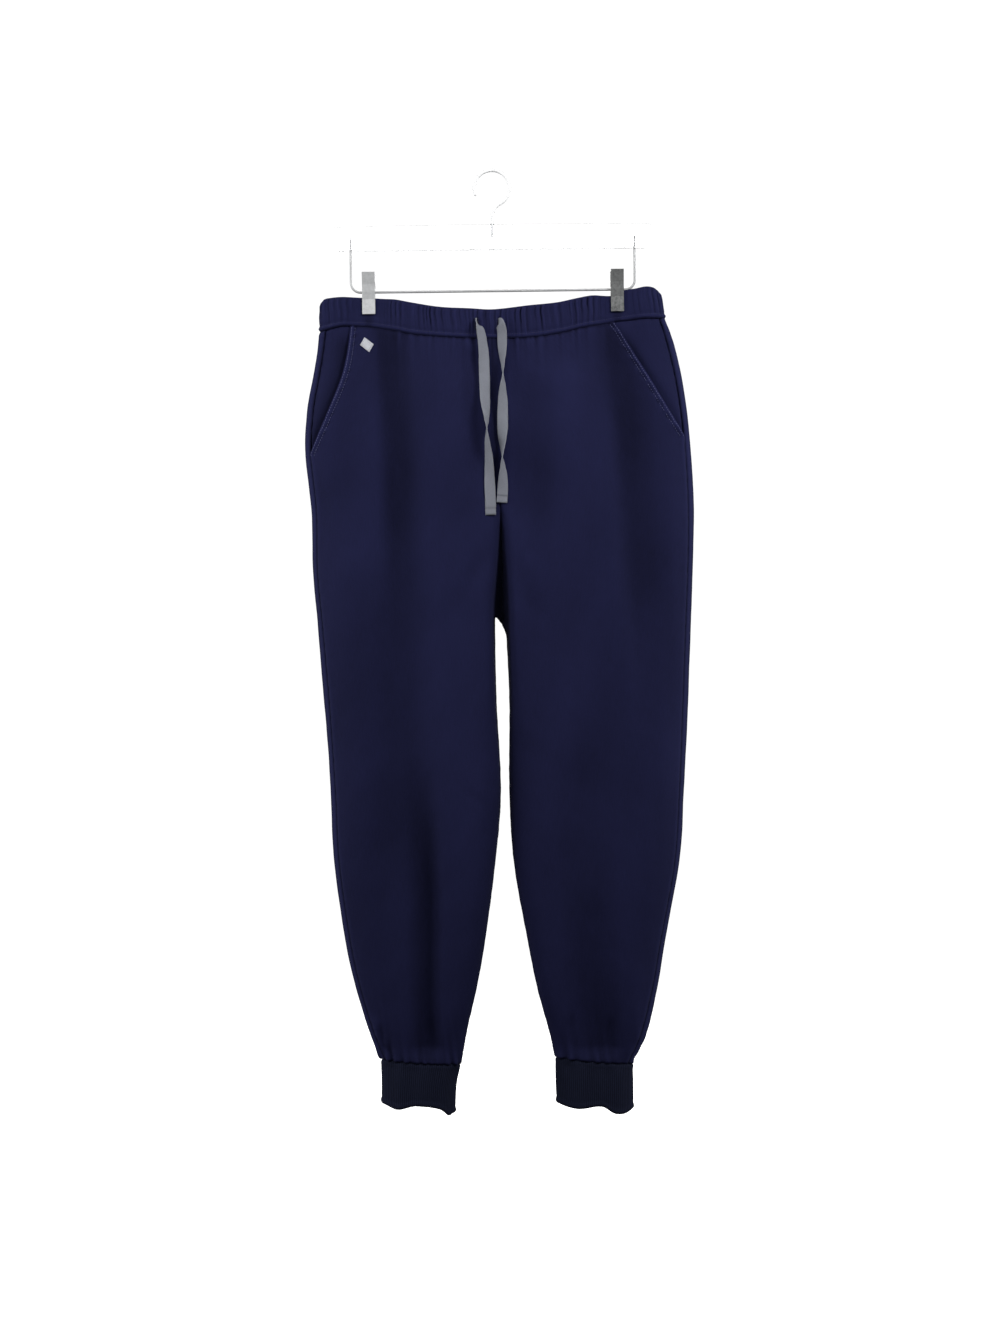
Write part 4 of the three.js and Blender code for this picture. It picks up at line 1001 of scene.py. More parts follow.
class JoggersTrimSettings(bpy.types.PropertyGroup):
    """Colours of the drawstring and the label."""

    tape: colour_setting("Drawstring", "Colour of the flat woven tape", (0.172, 0.181, 0.210))
    tape_thick: length_setting("Tape thickness", "Thickness of the drawstring's tape", 0.0011)
    label: colour_setting("Label", "Colour of the small woven label", (0.50, 0.51, 0.55))


class JoggersHangerSettings(bpy.types.PropertyGroup):
    """Finishes of the hanger."""

    clear: colour_setting("Clear plastic", "Tint of the hanger's bar", (0.925, 0.93, 0.935))
    steel: colour_setting("Bright steel", "Plating of the clips' springs", (0.62, 0.63, 0.64))
    # The hook's pale colour with little metal paints its reflection of the white room, and the wire's grey
    # paints its darker reflection.
    hook: colour_setting("Hook", "Pale satin plating of the hook", (0.84, 0.845, 0.85))
    wire: colour_setting("Wire", "Satin plating of the wire below the bar", (0.46, 0.465, 0.47))
    # The two clips share one plating: the pale colour paints a reflection of the white room, the dark one a
    # reflection of a dark room, and the dark copy has more dull patches.
    bright_clip: colour_setting("Bright clip", "Plating of the wearer's right clip", (0.50, 0.507, 0.515))
    dull_clip: colour_setting("Dull clip", "Worn plating of the wearer's left clip", (0.185, 0.19, 0.19))
    edge: length_setting("Edge rounding", "Rounding of the sheet and bar edges", 0.0003)


class JoggersStudioSettings(bpy.types.PropertyGroup):
    """Camera, paper and lights."""

    distance: length_setting("Camera distance", "How far the camera stands from the joggers", 3.0)
    height: length_setting("Picture height", "Height of what the camera sees at the joggers", 1.653)
    across: length_setting("Camera across", "Sideways place of the camera", 0.0105)
    level: length_setting("Camera level", "Height of the camera in the part's frame", -0.6131)
    floor: length_setting("Floor", "Height of the floor in the part's frame", -1.47)
    paper: colour_setting("Paper", "Colour of the floor", (0.93, 0.93, 0.93))
    glow: share_setting("Floor glow", "How brightly the floor is lit from below", 0.9)
    key: power_setting("Key light", "Power of the high light at one side", 15)
    front: power_setting("Front light", "Power of the front light", 8)
    side: power_setting("Side light", "Power of the light at the other side", 22)
    edge: power_setting("Edge lights", "Power of each light beside the joggers", 20)
    rear: power_setting("Rear light", "Power of the light behind", 70)
    room: share_setting("Room light", "Light of the room on the joggers", 0.17)
    wall: share_setting("Wall", "Brightness of the white wall behind", 1.05)


# ---------- pieces ----------


def settings():
    scene = bpy.context.scene
    return scene.joggers_cloth, scene.joggers_trim, scene.joggers_hanger, scene.joggers_studio


FINISHES = {}


def finish(name, make, *values):
    """The finish of that name, made the first time it is asked for."""
    if name not in FINISHES:
        FINISHES[name] = make(name, *values)
    return FINISHES[name]


def navy_cloth():
    cloth = settings()[0]
    return finish("navy_twill", twill_finish, cloth.navy, cloth.twill_pitch / MM)


def navy_thread():
    cloth = settings()[0]
    return finish("navy_thread", thread_finish, cloth.thread)


def panel_levels(rows):
    """Levels down a panel, closer together at the crotch and at both seams."""
    stops = (WAIST_LEVEL, WAIST_LEVEL - 30, FORK, CROTCH, CROTCH - ARCH, CUFF_LEVEL + 61, CUFF_LEVEL)
    shares = (0.07, 0.20, 0.22, 0.09, 0.32, 0.10)
    levels = [[WAIST_LEVEL + TUCK]]
    for start, end, share in zip(stops[:-1], stops[1:], shares):
        count = max(4, int(rows * share))
        t = np.arange(count) / count
        if start == FORK:
            t = np.sin(t * math.pi / 2)
        if start == CROTCH:
            t = 1 - np.cos(t * math.pi / 2)
        levels.append(start + (end - start) * t)
    return np.concatenate([*levels, [CUFF_LEVEL]])


def crowded(count, share):
    """Even steps from 0 to 1 that crowd towards both ends, by a share."""
    t = np.linspace(0, 1, count)
    return mix(t, 0.5 - 0.5 * np.cos(math.pi * t), share)


def panel_detail(side, face, points, level, edge, start):
    """How far out of the plain form each point stands, for seams, stitched edges and gathers, and the shade
    painted on it, below 0 a painted highlight. edge is the distance from the outer edge and start that from
    the inner one."""
    x, z = points[..., 0], points[..., 2]
    front = face == "front"
    seed = PANEL_SEED + 2 * SIDES.index(side) + (face == "back")
    in_pocket = pocket_share(side, z) if front else np.zeros_like(z)
    sewn = 1 - in_pocket

    # Side seam and inseam: the cloth dips into the seam, and puckers a little beside it.
    out = sewn * (bells(edge, SIDE_SEAM) + gathers(z, edge, seed, *SIDE_GATHERS))
    inseam = bells(start, INSEAM) + gathers(z, start, seed + INSEAM_DRAW, *INSEAM_GATHERS)
    out = out + inseam * np.where(level > CROTCH, 0.55, 1.0)
    # Painted shade in the side seam, painted highlight beside it, and on the back panel a painted highlight
    # along its strip by the seam.
    painted_light = sewn * bells(edge, SIDE_SEAM_SHADING)
    painted_light = painted_light if front else painted_light - 0.45 * (1 - smooth(4, 10, edge))

    # The pocket's turned edge: full at the fold, held down at its stitches, puckered between them.
    puckered = ripple(z + 0.6 * np.abs(x), 6, seed + POCKET_DRAW)
    turned = bells(edge, POCKET_TURN) + 0.5 * puckered * bell(edge, 5, 4.5)
    lift = 1.4 * np.exp(-edge / 6) * (1 - smooth(-240, -212, z)) * smooth(-356, -318, z)
    out = out + in_pocket * (turned + lift)
    # Painted highlight on the turned edge, painted shade at its stitches, and painted shade and highlight
    # along its puckers.
    fold = bells(edge, POCKET_EDGE_SHADING) - 0.7 * puckered * bell(edge, EDGE_STITCH, 2.6)
    painted_light = painted_light + in_pocket * fold

    # Gathers under the waistband and above the cuff.
    below, above = np.maximum(WAIST_LEVEL - level, 0), level - CUFF_LEVEL
    waist = gathers(x + 0.04 * z, below, seed + WAIST_DRAW, *WAIST_GATHERS) * free_of_clips(x, z)
    out = out + waist + bells(below, WAIST_SEAM) - 0.9 * smooth(0, TUCK, level - WAIST_LEVEL)
    # Painted shade under the band's seam, and painted shade and highlight on the gathers.
    painted_light = painted_light + bells(below, WAIST_SEAM_SHADING) - 0.5 * waist
    ease = gathers(x + 0.1 * z, above, seed + ANKLE_DRAW, *CUFF_GATHERS)
    out = out + ease * smooth(0, 8, start) * smooth(0, 8, edge) + bells(above, CUFF_SEAM)

    # The painted shade between the drawstring's ends, where they shadow the cloth.
    if front:
        line = 1 + 5 * clamp((WAIST_LEVEL - z) / 200)
        painted_light = painted_light + 0.9 * bell(x, line, 7) * smooth(-440, -405, z)

    # The hand of the cloth: broad soft unevenness.
    calm = smooth(0, 25, below) * smooth(0, 20, above) * smooth(0, 12, edge) * smooth(0, 12, start)
    broad = 0.45 * unevenness(x, 0.45 * z, 70, seed + HAND_DRAW)
    out = out + calm * (broad + 0.12 * unevenness(x, 0.6 * z, 22, seed + HAND_DRAW + 1))
    # The painted shading is lighter where the detail stands out and darker where it sinks.
    return out + PROUD, painted_light - 0.3 * out


def panel_grid(side, face, levels, shares):
    """Points of a panel with their way out, detail, painted shading, place on the cloth and distance to the
    edge.
    """
    front = face == "front"
    way = 1 if front else -1
    end = front_end(side, levels) if front else 2 - side_seam(side, levels)
    b = shares[None, :] * end[:, None]
    level = np.repeat(levels[:, None], len(shares), axis=1)
    points = cloth_grid(side, b if front else 2 - b, level)
    normal = grid_normals(points, SIGN[side] * way)
    up = unit(points[:-1, 0] - points[1:, 0])
    up = np.concatenate([up, up[-1:]])
    facing = np.stack([0 * levels, -up[:, 2], up[:, 1]], -1) * way
    body = levels > CROTCH
    normal[:, 0] = np.where(body[:, None], unit(facing), normal[:, 0])
    points[:, 0, 0] -= SIGN[side] * SEAM_LAP * body
    points[:, 0, 1] += way * SEAM_LAP * ~body
    along = length_along(points, 1)
    edge = along[:, -1:] - along
    detail, hollow = panel_detail(side, face, points, level, edge, along)
    # Painted shade in the folds and creases, fuller as they sink deeper, and painted highlight where they
    # rise.
    hollow = clamp(hollow + folded(face, points[..., 0], points[..., 2]) / FULL_FOLD, -1, 1)
    grain = (along - along[:, -1:] / 2, length_along(points, 0))
    return points, normal, detail, hollow, grain, edge


def make_panel(side, face):
    cloth = settings()[0]
    levels, shares = panel_levels(cloth.rows), crowded(cloth.columns + 1, 0.45)
    points, normal, detail, hollow, grain, edge = panel_grid(side, face, levels, shares)
    half = np.full_like(detail, PANEL_HALF)
    if face == "front":
        turned = pocket_share(side, points[..., 2])
        half = half + TURNED_HALF * turned * np.exp(-((edge / 9) ** 4))
        half = half * mix(1, rounded(edge, 1.4, 0.12), turned)
    middle = moved(points, normal, detail - half)
    name = f"panel_{face}_{side}"
    piece = shell(name, middle, normal, half, navy_cloth(), grain, hollow)
    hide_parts(f"{face}_{side}_upper", f"{face}_{side}_lower")


def make_facing(side):
    """The cloth behind a pocket's slanted edge."""
    foot = pocket_foot(side)
    levels = np.linspace(WAIST_LEVEL + TUCK, foot - 6, FACING_ROWS)
    lap = front_end(side, levels) - 0.035
    around = lap[:, None] + (side_seam(side, levels) - lap)[:, None] * np.linspace(0, 1, FACING_COLUMNS)
    level = np.repeat(levels[:, None], around.shape[1], axis=1)
    points = cloth_grid(side, around, level)
    normal = grid_normals(points, SIGN[side])
    along = length_along(points, 1)
    to_seam = along[:, -1:] - along
    x, z = points[..., 0], points[..., 2]
    below = np.maximum(WAIST_LEVEL - level, 0)
    out = bells(to_seam, FACING_SEAM) + gathers(z, to_seam, FACING_SEED, *FACING_SIDE_GATHERS)
    top = gathers(x, below, FACING_SEED + 2, *FACING_TOP_GATHERS) * free_of_clips(x, z)
    out = out + top - 0.5 * bell(below, 0, 2)
    out = out - 3.2 * smooth(0, 10, to_seam) * bell(along, 8, 10) * smooth(0, 30, below)
    out = out - 1.6 * (1 - smooth(foot - 2, foot + 22, z))
    half = FACING_WALL / 2
    middle = moved(points, normal, out + PROUD - FACING_DROP - SEAM - half)
    deep, wide, start = FACING_SHADE[side]
    # Painted shadow of the pocket's edge on the facing, and painted highlight where the facing stands out.
    shade_in = deep * smooth(start - 10, start + 12, below) * bell(np.maximum(along - 7, 0), 0, wide)
    hollow, grain = clamp(shade_in - 0.1 * out, -0.4, 1), (along, length_along(points, 0))
    piece = shell(f"facing_{side}", middle, normal, half, navy_cloth(), grain, hollow)
    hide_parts(f"pocket_facing_{side}")


def band_points(face, rows, count):
    """Points of the band from one side seam to the other."""
    inner, outer = (0, 1 - BAND_JOIN) if face == "front" else (2, 1 + BAND_JOIN)
    right = np.linspace(outer, inner, count // 2)
    parts = []
    for side, around in (("right", right), ("left", right[-2::-1])):
        x = skin(side, around, WAIST_LEVEL)[..., 0]
        top, seam = read(WAIST, 1, x), read(WAIST, 2, x)
        z = top[None, :] + (seam - top)[None, :] * rows[:, None]
        parts.append(skin(side, np.repeat(around[None, :], len(rows), axis=0), z))
    return np.concatenate(parts, axis=1)


def even_columns(points, count):
    """The same band with its columns spread evenly along it."""
    along = length_along(points, 1).mean(axis=0)
    even = np.linspace(0, along[-1], count)
    return np.stack([at_length(even, along, row) for row in points])


def buttonholes(x, z):
    """How deep the drawstring's two buttonholes cut into the band."""
    deep = np.zeros_like(x)
    for side in SIDES:
        hole_x, hole_z = TAPES[side][1][:2]
        inside = 1 - smooth(SLOT_WIDE / 2 - 0.5, SLOT_WIDE / 2 + 0.5, np.abs(x - hole_x))
        deep = deep + inside * (1 - smooth(SLOT_TALL / 2 - 0.8, SLOT_TALL / 2 + 0.8, np.abs(z - hole_z)))
    return deep


def pull_wedge_shade(x, share):
    """Where the cloth is pulled in below each clip, which the band paints darker."""
    wide = mix(8, 4, clamp((share - 0.5) / 0.5))
    near = sum(np.exp(-(((x - clip_at(side)) / wide) ** 4)) for side in SIDES)
    return near * smooth(0.45, 0.62, share)


def make_band(face):
    """One half of the waistband. Gives back its outer points, their way out and their depth down it."""
    gather = settings()[0].gather / MM
    front = face == "front"
    rows = crowded(BAND_ROWS, 0.6)
    points = even_columns(band_points(face, rows, BAND_SAMPLES), BAND_COLUMNS)
    normal = grid_normals(points, -1 if front else 1)
    if (normal[..., 1].mean() > 0) == front:
        normal = -normal
    along, down = length_along(points, 1), length_along(points, 0)
    x, z = points[..., 0], points[..., 2]
    share = rows[:, None]
    flat = 1 - 0.93 * np.minimum(1, clip_pinch(x, z))

    # Gathers: rounded puffs between sharp dips, strongest above and uneven along the band.
    seed = BAND_SEED[face]
    sway = along + 0.8 * np.sin(down / 12 + along / 21) + 0.4 * ripple(down, 18, seed + 1)
    crowd = sway / GATHER_PITCH + 0.35 * ripple(sway, 31, seed + 2)
    puff = np.abs(np.sin(math.pi * crowd)) ** 0.7 - 0.62
    fine = ripple(sway, 4.6, seed)
    uneven = clamp(0.85 + 0.35 * ripple(along, 29, seed + 3), 0.3, 1.4)
    reach = mix(0.45, 0.9, 0.5 + 0.5 * ripple(along, 17, seed + 4).clip(-1, 1))
    strong = smooth(0, 0.10, share) * (1 - 0.75 * smooth(reach - 0.25, reach + 0.1, share))
    strong = strong * (1 - smooth(0.82, 0.92, share)) + 0.2
    out = gather * flat * uneven * strong * (puff + 0.22 * fine)
    # Painted highlight on the gathers' puffs and over the whole band, painted shade in their dips.
    hollow = -0.15 - 1.25 * flat * uneven * strong * (puff + 0.3 * fine)

    # The band's belly, its stitched ridge and groove, and its seam with the panels.
    ridge, groove = bell(share, *RIDGE), bell(share, *GROOVE)
    out = out + 0.5 * flat * np.sin(math.pi * share)
    out = out + 1.2 * ridge * (0.4 + 0.6 * flat) - 0.5 * groove * flat - 0.7 * bell(share, 1.0, 0.03)
    # Painted shade at the band's seam and in its groove, painted highlight on its stitched ridge.
    hollow = hollow + 0.9 * bell(share, 1.0, 0.04) - 0.45 * ridge * flat + 0.25 * groove

    half = BAND_WALL / 2 - 0.35 * flat
    from_ends = np.minimum(along, along[:, -1:] - along)
    out = out - 0.3 * bell(from_ends, 0, 1.6)
    if front:
        hole = buttonholes(x, z)
        out = out * (1 - hole) - 2.1 * hole
        # Painted shade in the buttonholes and in the pulled-in wedges below the clips.
        hollow = hollow + 0.8 * hole + 0.75 * pull_wedge_shade(x, share)
    middle = moved(points, normal, out + BAND_PROUD - half)
    half = half * rounded(down, 1.6, 0.02) * rounded(down[-1:] - down, 1.2, 0.10)
    half = half * rounded(from_ends, 1.4, 0.05)
    piece = shell(f"band_{face}", middle, normal, half, navy_cloth(), (along, down), clamp(hollow, -0.9, 1))
    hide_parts(f"waistband_{face}")
    return moved(points, normal, out + BAND_PROUD), normal, down


def make_cuff(side):
    """A rib-knit tube: its ribs stand close together, and its hem is rolled and droops unevenly."""
    cloth = settings()[0]
    data = CUFFS[side]
    pitch = cloth.rib_pitch / MM
    share_down = np.concatenate([[-TUCK / 50], np.linspace(0, 1, CUFF_ROWS - 1)])
    angle = np.linspace(0, 2 * math.pi, CUFF_COLUMNS, endpoint=False)
    across = (1 - np.cos(angle)) / 2
    top = mix(*data["seam"], across)
    hem = HEM - read(data["droop"], 1, across)
    z = mix(top[None, :], hem[None, :], share_down[:, None])
    outer, inner, depth = (read(data["rows"], column, z) for column in (1, 2, 3))
    x = (outer + inner) / 2 + SIGN[side] * np.abs(outer - inner) / 2 * np.cos(angle)
    points = np.stack([x, -depth * np.sin(angle), z], -1)

    round_all = length_along(np.concatenate([points, points[:, :1]], axis=1), 1)
    along, girth = round_all[:, :-1], round_all[:, -1:]
    half_way = CUFF_ROWS // 2
    phase = along[half_way] / girth[half_way] * round(float(girth.mean()) / pitch)
    down = length_along(points, 0) - TUCK
    wrapped = np.concatenate([points[:, -1:], points, points[:, :1]], axis=1)
    normal = unit(np.cross(np.gradient(wrapped, axis=1), np.gradient(wrapped, axis=0))[:, 1:-1])
    if ((points - points.mean(axis=(0, 1))) * normal)[..., :2].sum() < 0:
        normal = -normal

    number = SIDES.index(side)
    ribs = np.abs(np.cos(math.pi * phase)) ** 0.8
    up = down[-1:] - down
    out = 0.55 * (0.75 + 0.25 * ripple(along, 26, CUFF_SEED + number)) * (ribs - 0.75)
    out = out + bells(up, CUFF_HEM) + 0.8 * ripple(along, 30, CUFF_SAG_SEED + number) * smooth(0, 12, down)
    out = out - 1.1 * bell(np.maximum(down, 0), 0, 1.8) - 1.2 * (down < 0) + bells(down, CUFF_TOP)
    half = RIB_WALL / 2
    middle = moved(points, normal, out - half)
    half = half * rounded(up, 1.2, 0.03)
    grain = (phase * pitch * np.ones_like(down), down)
    name = f"cuff_{side}"
    fabric = finish("rib_knit", rib_finish, cloth.rib_navy, pitch)
    piece = ring_shell(f"rib_{name}", middle, normal, half, fabric, grain)
    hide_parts(name)


def ring_shell(name, middle, normal, half, material, grain):
    """A closed shell round a cuff: the first column is repeated as the last so that the grain runs on."""
    joined = [np.concatenate([a, a[:, :1]], axis=1) for a in (middle, normal, half, *grain)]
    last = joined[3]
    last[:, -1] = 2 * last[:, -2] - last[:, -3]
    piece = shell(name, *joined[:3], material, joined[3:])
    weld(piece.data)
    return piece


def weld(mesh):
    """Joins the corners that lie on each other, and drops the two rims that then lie face to face."""
    made = bmesh.new()
    made.from_mesh(mesh)
    bmesh.ops.remove_doubles(made, verts=made.verts, dist=1e-6)
    seen = {}
    for face in made.faces:
        key = tuple(sorted(v.index for v in face.verts))
        seen.setdefault(key, []).append(face)
    doubled = [face for faces in seen.values() if len(faces) > 1 for face in faces]
    bmesh.ops.delete(made, geom=doubled, context="FACES")
    made.to_mesh(mesh)
    made.free()


def tape_route(side):
    """The middle of a drawstring's end, its width's way and its own way, at even steps."""
    rows = np.array(TAPES[side], float)
    route = []
    for x, z, out in rows[:, :3]:
        leg = "right" if x < read(CENTRE, 1, z) else "left"
        route.append((x, float(skin(leg, around_at(leg, x, z), z)[..., 1]) - out, z))
    n = np.arange(len(rows))
    at = np.linspace(0, len(rows) - 1, TAPE_STEPS)
    table = np.column_stack([n, route, np.radians(rows[:, 3:])]).tolist()
    *middle, turn, lean = (read(table, column, at) for column in range(1, 6))
    middle = np.stack(middle, -1)
    width = np.stack([np.cos(turn) * np.cos(lean), np.sin(turn) * np.cos(lean), np.sin(lean)], -1)
    along = unit(np.gradient(middle, axis=0))
    width = unit(width - along * (width * along).sum(-1, keepdims=True))
    return middle, width, along


def make_tape(side):
    """One free end of the drawstring: a flat woven tape, folded over and sewn at its tip. Gives back its
    middle, its width's way, its way out and its length at each step."""
    trim = settings()[1]
    number = SIDES.index(side)
    middle, width, along = tape_route(side)
    length = path_length(middle)
    flat = unit(np.cross(along, width))
    shares = np.linspace(-1, 1, TAPE_COLUMNS)
    off = np.abs(shares)
    to_tip = length[-1] - length

    narrow = 1 - 0.012 * ripple(length, 17, TAPE_EDGE_SEED + number)
    narrow = np.minimum(narrow - 0.02 * bell(to_tip, TAPE_HEM + 0.5, 1.5), 1.0)
    across = (TAPE_WIDE / 2 * narrow)[:, None] * shares
    cup = 0.35 * ripple(length, 40, TAPE_CUP_SEED + number)
    sway = cup[:, None] * shares**2 + 0.12 * ripple(length, 9, TAPE_SWAY_SEED)[:, None] * shares
    normal = np.repeat(flat[:, None], TAPE_COLUMNS, axis=1)
    grid = moved(moved(middle[:, None], width[:, None], across), normal, sway)

    thick = trim.tape_thick / MM * (1 + 0.75 * smooth(TAPE_HEM + 2, TAPE_HEM + 0.6, to_tip))
    thick = thick * (1 - 0.30 * bell(to_tip, TAPE_HEM, 0.7)) * rounded(to_tip, 0.9, 0.06)
    selvedge = (1 + 0.18 * bell(off, 0.86, 0.07)) * rounded(1 - off, 0.07, 0.06)
    half = thick[:, None] / 2 * selvedge
    grain = (across, np.repeat(length[:, None], TAPE_COLUMNS, axis=1))
    # Painted shade along the sewn groove near the tape's tip.
    groove = bell(to_tip, TAPE_HEM, 0.9)[:, None]
    fabric = finish("grey_twill_tape", tape_finish, trim.tape)
    piece = shell(f"drawcord_{side}", grid, normal, half, fabric, grain, groove)
    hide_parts(f"drawstring_{side}")
    return middle, width, flat, length


def tape_stitches(middle, width, flat, length):
    """The row of stitches across the folded tip of the tape, on both faces."""
    place = length[-1:] - TAPE_HEM
    at, across, out = (at_length(place, length, rows) for rows in (middle, width, flat))
    runs = []
    for face in (1, -1):
        line = at + across * np.linspace(-0.92, 0.92, 9)[:, None] * TAPE_WIDE / 2 + out * face * 0.72
        runs.append(stitch_run(line, np.repeat(face * out, 9, axis=0), *TAPE_STITCH))
    return runs


def on_piece(name, x, z):
    """Points and normals of a made piece's front at the given places."""
    mesh = bpy.data.objects[name].data
    tree = BVHTree.FromPolygons([v.co for v in mesh.vertices], [p.vertices for p in mesh.polygons])
    points, normals = np.empty((*x.shape, 3)), np.empty((*x.shape, 3))
    for spot in np.ndindex(x.shape):
        place, normal, _, _ = tree.ray_cast((x[spot] * MM, -1, z[spot] * MM), (0, 1, 0))
        points[spot] = np.array(place) / MM
        normals[spot] = normal
    return points, normals


# ---------- operators ----------


class JoggersOperator(bpy.types.Operator):
    """Shared settings of every operator here."""

    bl_options = {"REGISTER", "UNDO"}


# Lights: the setting of its power, its place and size in metres, where it points and its spread in degrees.
LIGHTS = (
    ("key", (1.5, -1.5, 0.9), (0.8, 0.8), (0.05, 0.0, -0.25), 100),
    ("front", (-0.3, -1.3, 0.5), (1.1, 0.9), (0.0, 0.0, -0.35), 180),
    ("side", (-1.8, -0.9, 0.1), (1.0, 1.4), (0.0, 0.0, -0.45), 180),
    ("edge", (-2.0, 0.2, -0.2), (0.8, 1.6), (0.0, 0.0, -0.5), 180),
    ("edge", (2.0, 0.2, -0.2), (0.8, 1.6), (0.0, 0.0, -0.5), 180),
    ("rear", (0.3, 2.3, 0.7), (1.6, 1.2), (0.0, 0.0, -0.5), 180),
)
SENSOR = 36  # width of the camera's sensor in millimetres
FLOOR_REACH, FLOOR_FACES = 9.0, 24


class JOGGERS_OT_stage(JoggersOperator):
    """Make the camera, the pale floor and the soft lights"""

    bl_idname = "joggers.stage"
    bl_label = "Studio"

    def execute(self, context):
        studio = settings()[3]
        self.camera(context.scene, studio)
        self.floor(context.scene, studio)
        self.room(context.scene, studio)
        context.scene.view_settings.view_transform = "Standard"
        for name, place, size, aim, spread in LIGHTS:
            self.light(name, getattr(studio, name), place, size, aim, spread)
        return {"FINISHED"}

    def camera(self, scene, studio):
        camera = bpy.data.objects.new("Camera", bpy.data.cameras.new("Camera"))
        camera.location = (studio.across, -studio.distance, studio.level)
        camera.rotation_euler = (math.pi / 2, 0, 0)
        camera.data.sensor_width = SENSOR
        camera.data.lens = SENSOR * studio.distance / studio.height
        camera.data.clip_end = 50
        scene.collection.objects.link(camera)
        scene.camera = camera

    def floor(self, scene, studio):
        mesh = bpy.data.meshes.new("floor")
        spots = np.linspace(-FLOOR_REACH, FLOOR_REACH, FLOOR_FACES + 1)
        numbers = np.arange(len(spots) ** 2).reshape(len(spots), -1)
        corners = (numbers[:-1, :-1], numbers[:-1, 1:], numbers[1:, 1:], numbers[1:, :-1])
        points = [(x, y, studio.floor) for y in spots for x in spots]
        mesh.from_pydata(points, [], np.stack(corners, -1).reshape(-1, 4).tolist())
        floor = bpy.data.objects.new("floor", mesh)
        floor.data.materials.append(paper_finish("studio_paper", studio.paper, studio.glow))
        floor.visible_diffuse = False
        floor.visible_glossy = False
        scene.collection.objects.link(floor)

    def room(self, scene, studio):
        """A white wall all round, which sheds only a little light on the joggers."""
        world = bpy.data.worlds.new("white_room")
        world.use_nodes = True
        nodes, links = world.node_tree.nodes, world.node_tree.links
        sky = nodes["Background"]
        sky.inputs["Color"].default_value = (1, 1, 1, 1)
        path = nodes.new("ShaderNodeLightPath")
        seen = nodes.new("ShaderNodeMath")
        seen.operation = "MAXIMUM"
        links.new(path.outputs["Is Camera Ray"], seen.inputs[0])
        links.new(path.outputs["Is Transmission Ray"], seen.inputs[1])
        bright = nodes.new("ShaderNodeMapRange")
        bright.inputs["To Min"].default_value = studio.room
        bright.inputs["To Max"].default_value = studio.wall
        links.new(seen.outputs[0], bright.inputs["Value"])
        links.new(bright.outputs["Result"], sky.inputs["Strength"])
        scene.world = world

    def light(self, name, power, place, size, aim, spread):
        lamp = bpy.data.lights.new(name, "AREA")
        lamp.energy = power
        lamp.shape = "RECTANGLE"
        lamp.size, lamp.size_y = size
        lamp.spread = math.radians(spread)
        obj = bpy.data.objects.new(name, lamp)
        obj.location = place
        obj.rotation_euler = (Vector(aim) - Vector(place)).to_track_quat("-Z", "Y").to_euler()
        obj.visible_camera = False
        bpy.context.scene.collection.objects.link(obj)


class JOGGERS_OT_drawstring(JoggersOperator):
    """Make the two free ends of the flat drawstring and their end stitches"""

    bl_idname = "joggers.drawstring"
    bl_label = "Drawstring"

    def execute(self, context):
        trim = settings()[1]
        runs = []
        for side in SIDES:
            runs += tape_stitches(*make_tape(side))
        thread = finish("grey_thread", thread_finish, shade(trim.tape, 0.55))
        stitching("drawcord_stitches", runs, thread)
        return {"FINISHED"}


class JOGGERS_OT_panels(JoggersOperator):
    """Make the four leg panels with their folds, seams and gathers"""

    bl_idname = "joggers.panels"
    bl_label = "Leg panels"

    def execute(self, context):
        for side in SIDES:
            for face in FOLDS:
                make_panel(side, face)
        return {"FINISHED"}


class JOGGERS_OT_facings(JoggersOperator):
    """Make the cloth that shows behind the slanted pocket edges"""

    bl_idname = "joggers.facings"
    bl_label = "Pocket facings"

    def execute(self, context):
        for side in SIDES:
            make_facing(side)
        return {"FINISHED"}


class JOGGERS_OT_waistband(JoggersOperator):
    """Make the gathered waistband, its seam stitches and its buttonholes"""

    bl_idname = "joggers.waistband"
    bl_label = "Waistband"

    def execute(self, context):
        cloth = settings()[0]
        runs = []
        for face in FOLDS:
            points, normal, down = make_band(face)
            share = (down / down[-1:]).mean(axis=1)
            row = int(np.argmin(np.abs(share - BAND_STITCH_ROW)))
            line, way = points[row, 3:-3], normal[row, 3:-3]
            runs.append(stitch_run(line, way, BAND_STITCH_PITCH, cloth.stitch / MM, BAND_STITCH_WIDE))
            if face == "front":
                runs += self.buttonhole_stitches()
        thread = finish("band_thread", thread_finish, shade(cloth.navy, 0.85))
        stitching("band_stitches", runs, thread)
        return {"FINISHED"}

    def buttonhole_stitches(self):
        """Close bars of thread round each buttonhole."""
        bars = []
        for side in SIDES:
            hole_x, hole_z = TAPES[side][1][:2]
            for z in np.arange(hole_z - SLOT_TALL / 2, hole_z + SLOT_TALL / 2, 0.75):
                for edge in (-1, 1):
                    bars.append([(hole_x + edge * off, z) for off in (1.6, 2.5, 3.4)])
        bars = np.array(bars)
        points, normals = on_piece("band_front", bars[..., 0], bars[..., 1])
        return [stitch_run(line, way, *SLOT_STITCH) for line, way in zip(points, normals)]


class JOGGERS_OT_cuffs(JoggersOperator):
    """Make the two rib-knit cuffs"""

    bl_idname = "joggers.cuffs"
    bl_label = "Rib cuffs"

    def execute(self, context):
        for side in SIDES:
            make_cuff(side)
        return {"FINISHED"}


